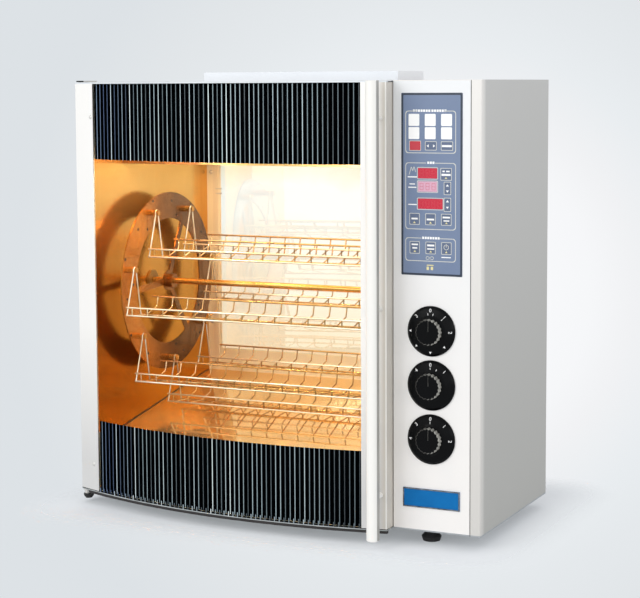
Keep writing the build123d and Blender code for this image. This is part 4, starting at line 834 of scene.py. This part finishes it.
class OVEN_OT_keypad(bpy.types.Operator):
    """Print the keypad's border, frames, keys and plain legend bars"""

    bl_idname = "oven.keypad"
    bl_label = "Keypad print"

    # All in millimetres from the foil's lower left corner: left, right, bottom and top, or one point
    border = (0.2, 132.8, 0.2, 370.8)
    # Bottom and top of each group's frame, and the share of its width where the line stops for a title
    frames = ((249, 335, (0.2, 0.8)), (94, 230, (0.4, 0.6)), (29, 77, (0.3, 0.7)))
    red_key = (17.4, 43.2, 254, 274.4)
    line_keys = (
        (52, 77.4, 255, 273.4), (86.6, 112.6, 255, 273.4), (85.6, 110, 194.6, 219.8), (92.9, 108.6, 165.4, 192),
        (92.9, 108.6, 131.5, 159.7), (17.9, 40.3, 103.4, 127), (18.5, 40.5, 44.2, 69.4), (52.8, 75.2, 103.4, 127),
        (53.4, 75.4, 44.2, 69.4), (87.2, 109.6, 103.4, 127), (87.8, 109.8, 44.2, 69.4),
    )
    bars = (
        (88.6, 109.8, 262, 266), (90, 95, 211.5, 214.5), (98, 105.6, 211.5, 214.5), (88, 107.6, 204, 208),
        (14, 35, 199.5, 202), (18, 30, 185.2, 187.4), (15.5, 33, 178.4, 180.6), (15.5, 34, 143.4, 145.6),
        (22.4, 36, 114, 117.5), (56, 72, 113, 116.5), (90.6, 106.6, 118, 121.5), (92.5, 105, 111.6, 114),
        (22.6, 36.8, 61.4, 64.6), (24.4, 35, 54.2, 57.4), (57, 72.4, 60, 63.8), (57, 72.4, 53.4, 56),
        (88, 108.4, 37.4, 39.4),
    )
    # Left end, number of short bars and height of each group's title
    titles = ((25.5, 7, 335.0), (66, 6, 335.0), (57, 3, 230.0), (46, 7, 77.0))
    # Middle of the base, half width, and the way that it points
    arrows = ((100.7, 182.6, 3.2, 1), (100.7, 174.6, 3.2, -1), (100.7, 150.6, 3.2, 1), (100.7, 141.6, 3.2, -1))
    lamps = ((97.6, 198), (28.8, 106.5), (64, 106.5), (98.8, 106.5), (29.7, 47.5), (64.5, 47.5), (98.6, 47.5))

    def execute(self, context):
        lo = low("keypad_overlay")
        front, back = lo.y - 0.0001, lo.y + 0.0001

        def mm(points):
            return [(lo.x + u / 1000, lo.z + v / 1000) for u, v in points]

        def at(u0, u1, v0, v1, radius=1.5):
            return mm(rounded(u0, u1, v0, v1, radius))

        with piece("keypad_border", "navy", slot="keypad_foil") as bm:
            outline(bm, at(*self.border, 2), 0.0042, front, back)
        with piece("keypad_lines", "cream", slot="keypad_foil") as bm:
            for v0, v1, title in self.frames:
                outline(bm, at(9, 119, v0, v1, 6), 0.0014, front, back, (9,))
                left, right = 15, 113
                for u0, u1 in ((left, left + 98 * title[0]), (left + 98 * title[1], right)):
                    slab(bm, mm(corners(u0, u1, v1 - 1.4, v1)), front, back)
            for key in self.line_keys + (self.red_key,):
                outline(bm, at(*key), 0.0011, front, back)
            for z, _, width in DISPLAYS:
                v = (z - lo.z) * 1000
                outline(bm, at(34.6, 38.4 + width, v - 1.9, v + 22.9, 2.5), 0.0012, front, back)
        with piece("keypad_key_fields", "field", slot="keypad_foil") as bm:
            for u0, u1, v0, v1 in self.line_keys:
                slab(bm, at(u0 + 1, u1 - 1, v0 + 1, v1 - 1, 1), front + 0.00006, back)
        with piece("keypad_white", "white", slot="keypad_foil") as bm:
            for u in (16, 51.5, 86.8):
                for v0, v1 in ((304.2, 328.6), (277.6, 301.8)):
                    slab(bm, at(u, u + 23.6, v0, v1, 2), front, back)
            shorts = [(u + 5.6 * k, u + 5.6 * k + 4.3, v - 2.4, v + 2.4)
                      for u, count, v in self.titles for k in range(count)]
            for bar in list(self.bars) + shorts:
                slab(bm, at(*bar, 0.3), front, back)
            for u, v, half, way in self.arrows:
                slab(bm, mm([(u - half, v), (u + half, v), (u, v + way * 1.4 * half)]), front, back)
            for u, way in ((60, -1), (69.5, 1)):
                slab(bm, mm([(u, 261), (u + way * 4.5, 264), (u, 267)]), front, back)
        with piece("keypad_red_key", "red", slot="keypad_foil") as bm:
            u0, u1, v0, v1 = self.red_key
            slab(bm, at(u0 + 1, u1 - 1, v0 + 1, v1 - 1), front, back)
        with piece("keypad_amber_marks", "amber", slot="keypad_foil") as bm:
            for u in (58.2, 67.4):
                slab(bm, at(u - 2.6, u + 2.6, 11.5, 18.5), front, back)
            slab(bm, at(56, 71, 20.4, 22.4, 0.4), front, back)
            for u, v in self.lamps:
                slab(bm, mm([(u - 2.8, v), (u + 2.8, v), (u, v + 4)]), front, back)
        with piece("keypad_icons", "cream", slot="keypad_foil") as bm:
            for points in self.icons():
                for (ua, va), (ub, vb) in zip(points, points[1:]):
                    run = math.hypot(ub - ua, vb - va)
                    nu, nv = 0.6 * (vb - va) / run, -0.6 * (ub - ua) / run
                    slab(bm, mm([(ua + nu, va + nv), (ub + nu, vb + nv), (ub - nu, vb - nv), (ua - nu, va - nv)]),
                         front, back)
        self.digits(lo.x)
        return {"FINISHED"}

    def icons(self):
        """Strokes of the small signs: a zigzag, an arc over a bar and a little fan."""
        def arc(u, v, radius, start, end):
            steps = [math.radians(start + (end - start) * k / 8) for k in range(9)]
            return [(u + radius * math.cos(a), v + radius * math.sin(a)) for a in steps]

        zigzag = [(17, 205), (22, 221), (25, 213), (28, 222), (31.5, 211)]
        ring_and_bar = [arc(98.4, 59, 5.2, 110, 430), [(98.4, 59), (98.4, 66)]]
        fan = [arc(57.5, 36, 3.2, 20, 340), arc(67.5, 36, 3.2, 200, 520)]
        return [zigzag] + ring_and_bar + fan + [[(60, v), (65, v)] for v in (37.5, 34.5)]

    def digits(self, left):
        """Unlit segments of the three displays, all of them in each place."""
        front = low("display_lenses").y
        w, h, t = 0.0038, 0.0068, 0.0006
        with piece("display_digits", "red", slot="red_lens") as bm:
            for edge, count, width in DISPLAYS:
                pitch = width / 1000 / (count + 0.2)
                z = edge + DIGIT_RISE
                for k in range(count):
                    x = left + 0.0365 + pitch * (k + 0.6)
                    flat = [(-w, w, v, v + t) for v in (h - t, -t / 2, -h)]
                    upright = [(u, u + t, v, v + h) for u in (-w, w - t) for v in (0, -h)]
                    for u0, u1, v0, v1 in flat + upright:
                        slab(bm, corners(x + u0, x + u1, z + v0, z + v1), front - 0.0001, front + 0.0001)


class OVEN_OT_dials(bpy.types.Operator):
    """Print plain numbers and strokes on the dials"""

    bl_idname = "oven.dials"
    bl_label = "Dial marks"

    # Angles in degrees clockwise from the top: numbers, wedges and strokes
    sets = (
        ("upper_knob", {-45: "3", 0: "0", 45: "1", 90: "2"}, (135, 180, 225, 270), (-8, 10, 45)),
        ("middle_knob", {-45: "4", 0: "0", 45: "1"}, (), (0, 22)),
        ("lower_knob", {-90: "4", -45: "3", 0: "0", 45: "1", 90: "2"}, (), (0,)),
    )
    wedge = (0.0435, ((-0.0026, -0.0018), (0.0026, -0.0018), (0, 0.0030)))
    stroke = (0.0358, ((-0.0005, -0.0022), (0.0005, -0.0022), (0.0005, 0.0022), (-0.0005, 0.0022)))
    number_radius, number_size, thickness = 0.0430, 0.0105, 0.0002

    def execute(self, context):
        for knob, numbers, wedges, strokes in self.sets:
            with piece(knob + "_marks", "white", knob, "black_plastic") as bm:
                for angles, (radius, points) in ((wedges, self.wedge), (strokes, self.stroke)):
                    for angle in angles:
                        turn = self.on_skirt(knob, angle, radius)
                        loft(bm, [[turn @ Vector((u, v, w)) for u, v in points]
                                  for w in (self.thickness, -self.thickness)])
            with piece(knob + "_numbers", "white", knob, "black_plastic") as bm:
                for angle, number in numbers.items():
                    mesh = self.figure(number)
                    mesh.transform(self.on_skirt(knob, angle, self.number_radius))
                    bm.from_mesh(mesh)
                    bpy.data.meshes.remove(mesh)
        return {"FINISHED"}

    def on_skirt(self, knob, angle, radius):
        """Frame of a mark on the dial's skirt, which slopes 8.1 degrees; its Y points away from the centre."""
        rise = 0.0080 - 0.0020 * (radius - 0.033) / 0.014 + 0.0001
        return (Matrix.Translation((middle(knob).x, FACE_Y - 0.0005, middle(knob).z))
                @ Matrix.Rotation(math.radians(angle), 4, "Y") @ Matrix.Translation((0, -rise, radius))
                @ Matrix.Rotation(math.radians(90 - 8.1), 4, "X"))

    def figure(self, number):
        """Mesh of one number about the origin."""
        curve = bpy.data.curves.new("number", "FONT")
        curve.body = number
        curve.size = self.number_size
        curve.align_x = curve.align_y = "CENTER"
        curve.extrude = self.thickness
        text = placed("number", curve)
        bpy.context.view_layer.update()
        mesh = bpy.data.meshes.new_from_object(text.evaluated_get(bpy.context.evaluated_depsgraph_get()))
        bpy.data.objects.remove(text)
        return mesh


class OVEN_OT_badge(bpy.types.Operator):
    """Add the chromed rim of the bare badge plate"""

    bl_idname = "oven.badge"
    bl_label = "Badge rim"

    def execute(self, context):
        lo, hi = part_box("badge_plate")
        with piece("badge_rim", "rim", slot="badge") as bm:
            outline(bm, rounded(lo.x, hi.x, lo.z, hi.z, 0.0008), 0.0024, lo.y - 0.0004, lo.y + 0.0006)
        return {"FINISHED"}


class OVEN_OT_fixings(bpy.types.Operator):
    """Place the screws of the window surround, the rear cover and the keypad column"""

    bl_idname = "oven.fixings"
    bl_label = "Screws"

    def execute(self, context):
        s = context.scene.oven
        y = low("back_panel").y
        for label, x, way in (("left", -0.447, 1), ("right", 0.2495, -1)):
            copies("window_screws_" + label, screw_head(s.screw, 0.0024), "steel", "oven", 2, (x, y, 0.352),
                   (0, 0, 0.381), smooth=40)
            with piece("window_channel_" + label, "channel", slot="stainless") as bm:
                near, far = sorted((x + way * 0.0065, x + way * 0.0205))
                slab(bm, corners(near, far, 0.250, 0.872), y - 0.0016, y)
            with piece("window_clip_" + label, "steel", slot="stainless") as bm:
                near, far = sorted((x + way * 0.0150, x + way * 0.0330))
                for z in (0.678, 0.690):
                    slab(bm, corners(near, far, z, z + 0.003), y - 0.0030, y - 0.0016)
        for label, x in (("left", 0.318), ("right", 0.474)):
            bm = screw_head(s.screw, 0.0022)
            bmesh.ops.rotate(bm, verts=bm.verts, matrix=Matrix.Rotation(math.pi, 3, "Z"))
            copies("cover_screws_" + label, bm, "steel", "oven", 4, (x, high("control_back_panel").y, 0.075),
                   (0, 0, 0.28), smooth=40)
        seam = low("control_side_panel").x
        with piece("fascia_seam", "groove", slot="white_steel") as bm:
            slab(bm, corners(seam - 0.0004, seam + 0.0006, BASE_Z, TOP_Z - 0.001), FACE_Y - 0.0003, FACE_Y + 0.0005)
        return {"FINISHED"}


class OVEN_OT_chamber_trim(bpy.types.Operator):
    """Run a dark bead along the joint of floor and wall: painted shade in the crease"""

    bl_idname = "oven.chamber_trim"
    bl_label = "Chamber trim"

    def execute(self, context):
        lo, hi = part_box("cavity_floor")
        for label, x in (("left", high("left_liner").x + 0.0008), ("right", low("right_liner").x - 0.0008)):
            with piece("floor_joint_" + label, "tar", slot="stainless", smooth=60) as bm:
                tube(bm, ((x, lo.y + 0.034, BASE_Z + 0.1150), (x, hi.y - 0.003, hi.z - 0.0005)), 0.0011, 6)
        return {"FINISHED"}


class OVEN_OT_stage(bpy.types.Operator):
    """Set the floor, the background, the lamps, the studio light and the camera"""

    bl_idname = "oven.stage"
    bl_label = "Stage"

    # The camera, fitted to the photo's edges: turns in radians, place from the column's face, lens in millimetres
    yaw, pitch, roll = 0.4452044, 0.0950070, -0.0051146
    spot = (1.684604, FACE_Y - 3.252121, 0.949911)
    lens, shift = 97.133, -0.0766
    # Half the footprint that the floor shows round, and the margin over which it fades out
    footprint, margin = (0.44, 0.27, 0), (0.02, 0.19)
    # Where the backdrop is brightest, right and down from the camera's axis, and how far its shades reach
    bright_spot, shade_reach = (0.0695, -0.0232), math.radians(14)
    shades = ((0.15, "F9FAFC"), (0.354, "F6F7F9"), (0.45, "F1F2F4"), (0.59, "E9EDF0"), (0.70, "E5E9EC"),
              (0.82, "E2E6E9"), (1.0, "DDE2E6"))
    window_white = (1.13, 1.11, 1.06, 1.0)

    def execute(self, context):
        s = context.scene.oven
        ground = self.floor()
        self.world(s.sky)
        self.softboxes(s)
        self.oven_lamps(s, ground)
        self.camera()
        return {"FINISHED"}

    def floor(self):
        """Plain paper that keeps the oven's shadow and fades into the backdrop."""
        mesh = bpy.data.meshes.new("studio_floor")
        mesh.from_pydata([(x, y, 0) for x, y in corners(-30, 30, -30, 40)], [], [(0, 1, 2, 3)])
        mat, tree = new_material("seamless paper")
        far = add(tree, "TexCoord").outputs["Object"]
        for how, other in (("ABSOLUTE", (0, 0, 0)), ("SUBTRACT", self.footprint), ("MAXIMUM", (0, 0, 0)),
                           ("LENGTH", (0, 0, 0))):
            far = add(tree, "VectorMath", {"operation": how}, i0=far, i1=other)
        fade = guide(tree, far, *self.margin, 0.25, 1.0)
        fade.interpolation_type = "SMOOTHSTEP"
        paper = add(tree, "BsdfDiffuse", Color="EEF0F3")
        both = add(tree, "MixShader", i0=fade, i1=paper, i2=add(tree, "BsdfTransparent"))
        add(tree, "OutputMaterial", Surface=both)
        mesh.materials.append(mat)
        obj = placed("studio_floor", mesh)
        return obj

    def world(self, sky):
        """A backdrop that is brightest behind the column, and pure white when seen through both panes."""
        world = bpy.data.worlds.new("studio")
        bpy.context.scene.world = world
        world.use_nodes = True
        tree = world.node_tree
        tree.nodes.clear()
        ray = add(tree, "LightPath").outputs
        ahead, right, up = self.axes()
        centre = (ahead + right * self.bright_spot[0] + up * self.bright_spot[1]).normalized()
        here = add(tree, "TexCoord").outputs["Generated"]
        along = add(tree, "VectorMath", {"operation": "DOT_PRODUCT"}, i0=here, i1=centre)
        angle = add(tree, "Math", {"operation": "ARCCOSINE"}, i0=along)
        shades = add(tree, "ValToRGB", None, self.shades, i0=guide(tree, angle, 0.0, self.shade_reach))
        through = add(tree, "Math", {"operation": "GREATER_THAN"}, i0=ray["Transparent Depth"], i1=3.5)
        seen = add(tree, "Mix", {"data_type": "RGBA"}, i0=through, i6=shades, i7=self.window_white)
        light = add(tree, "Background", Color="F4F6F9", Strength=sky)
        shown = ray["Is Camera Ray"]
        for kind in ("Is Glossy Ray", "Is Transmission Ray"):
            shown = add(tree, "Math", {"operation": "MAXIMUM"}, i0=shown, i1=ray[kind])
        pick = add(tree, "MixShader", i0=shown, i1=light, i2=add(tree, "Background", Color=seen, Strength=1.0))
        add(tree, "OutputWorld", Surface=pick)

    def softboxes(self, s):
        """Four square softboxes that aim at the oven's middle."""
        for name, spot, size, power, colour in (
            ("key_softbox", (-1.5, -3.4, 2.1), 2.4, s.key_light, (1.0, 0.99, 0.97)),
            ("fill_softbox", (0.9, -3.6, 0.9), 1.8, s.fill_light, (0.97, 0.98, 1.0)),
            ("top_softbox", (-0.3, 0.4, 3.0), 2.4, s.fill_light, (1, 1, 1)),
            ("side_softbox", (3.2, -1.6, 1.3), 1.6, s.side_light, (1, 1, 1)),
        ):
            lamp = bpy.data.lights.new(name, "AREA")
            lamp.size, lamp.energy, lamp.color = size, power, colour
            obj = placed(name, lamp)
            obj.location = spot
            obj.rotation_euler = (Vector((0, 0, 0.5)) - obj.location).to_track_quat("-Z", "Y").to_euler()

    def oven_lamps(self, s, ground):
        """The two bulbs and the glow of the hot ceiling, which leave the floor outside unlit."""
        away = bpy.data.collections.new("out of the oven lamps' reach")
        away.objects.link(ground)
        away.collection_objects[0].light_linking.link_state = "EXCLUDE"

        def lit(name, kind, energy, spot):
            lamp = bpy.data.lights.new(name, kind)
            lamp.energy, lamp.color = energy, s.lamp_tint
            obj = placed(name, lamp)
            obj.location = spot
            obj.light_linking.receiver_collection = away
            return obj

        lo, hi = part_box("lamp_covers")
        for k, x in enumerate((lo.x + 0.022, hi.x - 0.022)):
            bulb = lit("oven_lamp_%d" % (k + 1), "POINT", s.lamp_light, (x, (lo.y + hi.y) / 2, lo.z - 0.024))
            bulb.data.shadow_soft_size = 0.018
        lo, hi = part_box("ceiling_baffle")
        glow = lit("chamber_glow", "AREA", s.glow_light, ((lo.x + hi.x) / 2, (lo.y + hi.y) / 2, lo.z - 0.003))
        glow.data.shape = "RECTANGLE"
        glow.data.size, glow.data.size_y = 0.9 * (hi.x - lo.x), 0.8 * (hi.y - lo.y)
        glow.visible_camera = False

    def axes(self):
        """The camera's forward, right and up directions."""
        yaw, pitch, roll = self.yaw, self.pitch, self.roll
        ahead = Vector((-math.sin(yaw) * math.cos(pitch), math.cos(yaw) * math.cos(pitch), -math.sin(pitch)))
        right = Vector((math.cos(yaw), math.sin(yaw), 0))
        up = right.cross(ahead)
        return (ahead, right * math.cos(roll) + up * math.sin(roll),
                up * math.cos(roll) - right * math.sin(roll))

    def camera(self):
        """The photo's viewing angle, everything sharp."""
        cam = bpy.data.cameras.new("photo_view")
        cam.lens, cam.shift_y = self.lens, self.shift
        cam.sensor_width, cam.sensor_fit = 36.0, "HORIZONTAL"
        cam.clip_end = 200.0
        ahead, right, up = self.axes()
        obj = placed("photo_view", cam)
        turn = Matrix((right, up, -ahead)).transposed().to_4x4()
        obj.matrix_world = Matrix.Translation(self.spot) @ turn
        bpy.context.scene.camera = obj
        bpy.context.scene.view_settings.view_transform = "Standard"


class OVEN_PT_panel(bpy.types.Panel):
    """Buttons that build the oven's detail"""

    bl_idname = "OVEN_PT_panel"
    bl_label = "Rotisserie oven"
    bl_space_type = "VIEW_3D"
    bl_region_type = "UI"
    bl_category = "Oven"

    def draw(self, context):
        for name in OvenSettings.__annotations__:
            self.layout.prop(context.scene.oven, name)
        for step in STEPS:
            self.layout.operator(step.bl_idname)


STEPS = (OVEN_OT_finishes, OVEN_OT_door_print, OVEN_OT_door_trim, OVEN_OT_baskets, OVEN_OT_rotor_marks,
         OVEN_OT_keypad, OVEN_OT_dials, OVEN_OT_badge, OVEN_OT_fixings, OVEN_OT_chamber_trim, OVEN_OT_stage)
CLASSES = (OvenSettings,) + STEPS + (OVEN_PT_panel,)


def register():
    """Adds the classes and the scene's settings."""
    for item in CLASSES:
        bpy.utils.register_class(item)
    bpy.types.Scene.oven = PointerProperty(type=OvenSettings)


def unregister():
    """Removes what register added."""
    del bpy.types.Scene.oven
    for item in reversed(CLASSES):
        bpy.utils.unregister_class(item)


def main():
    """Runs every step in order."""
    register()
    for step in STEPS:
        getattr(bpy.ops.oven, step.bl_idname.split(".")[1])()
    bpy.context.view_layer.update()


if __name__ == "__main__":
    main()
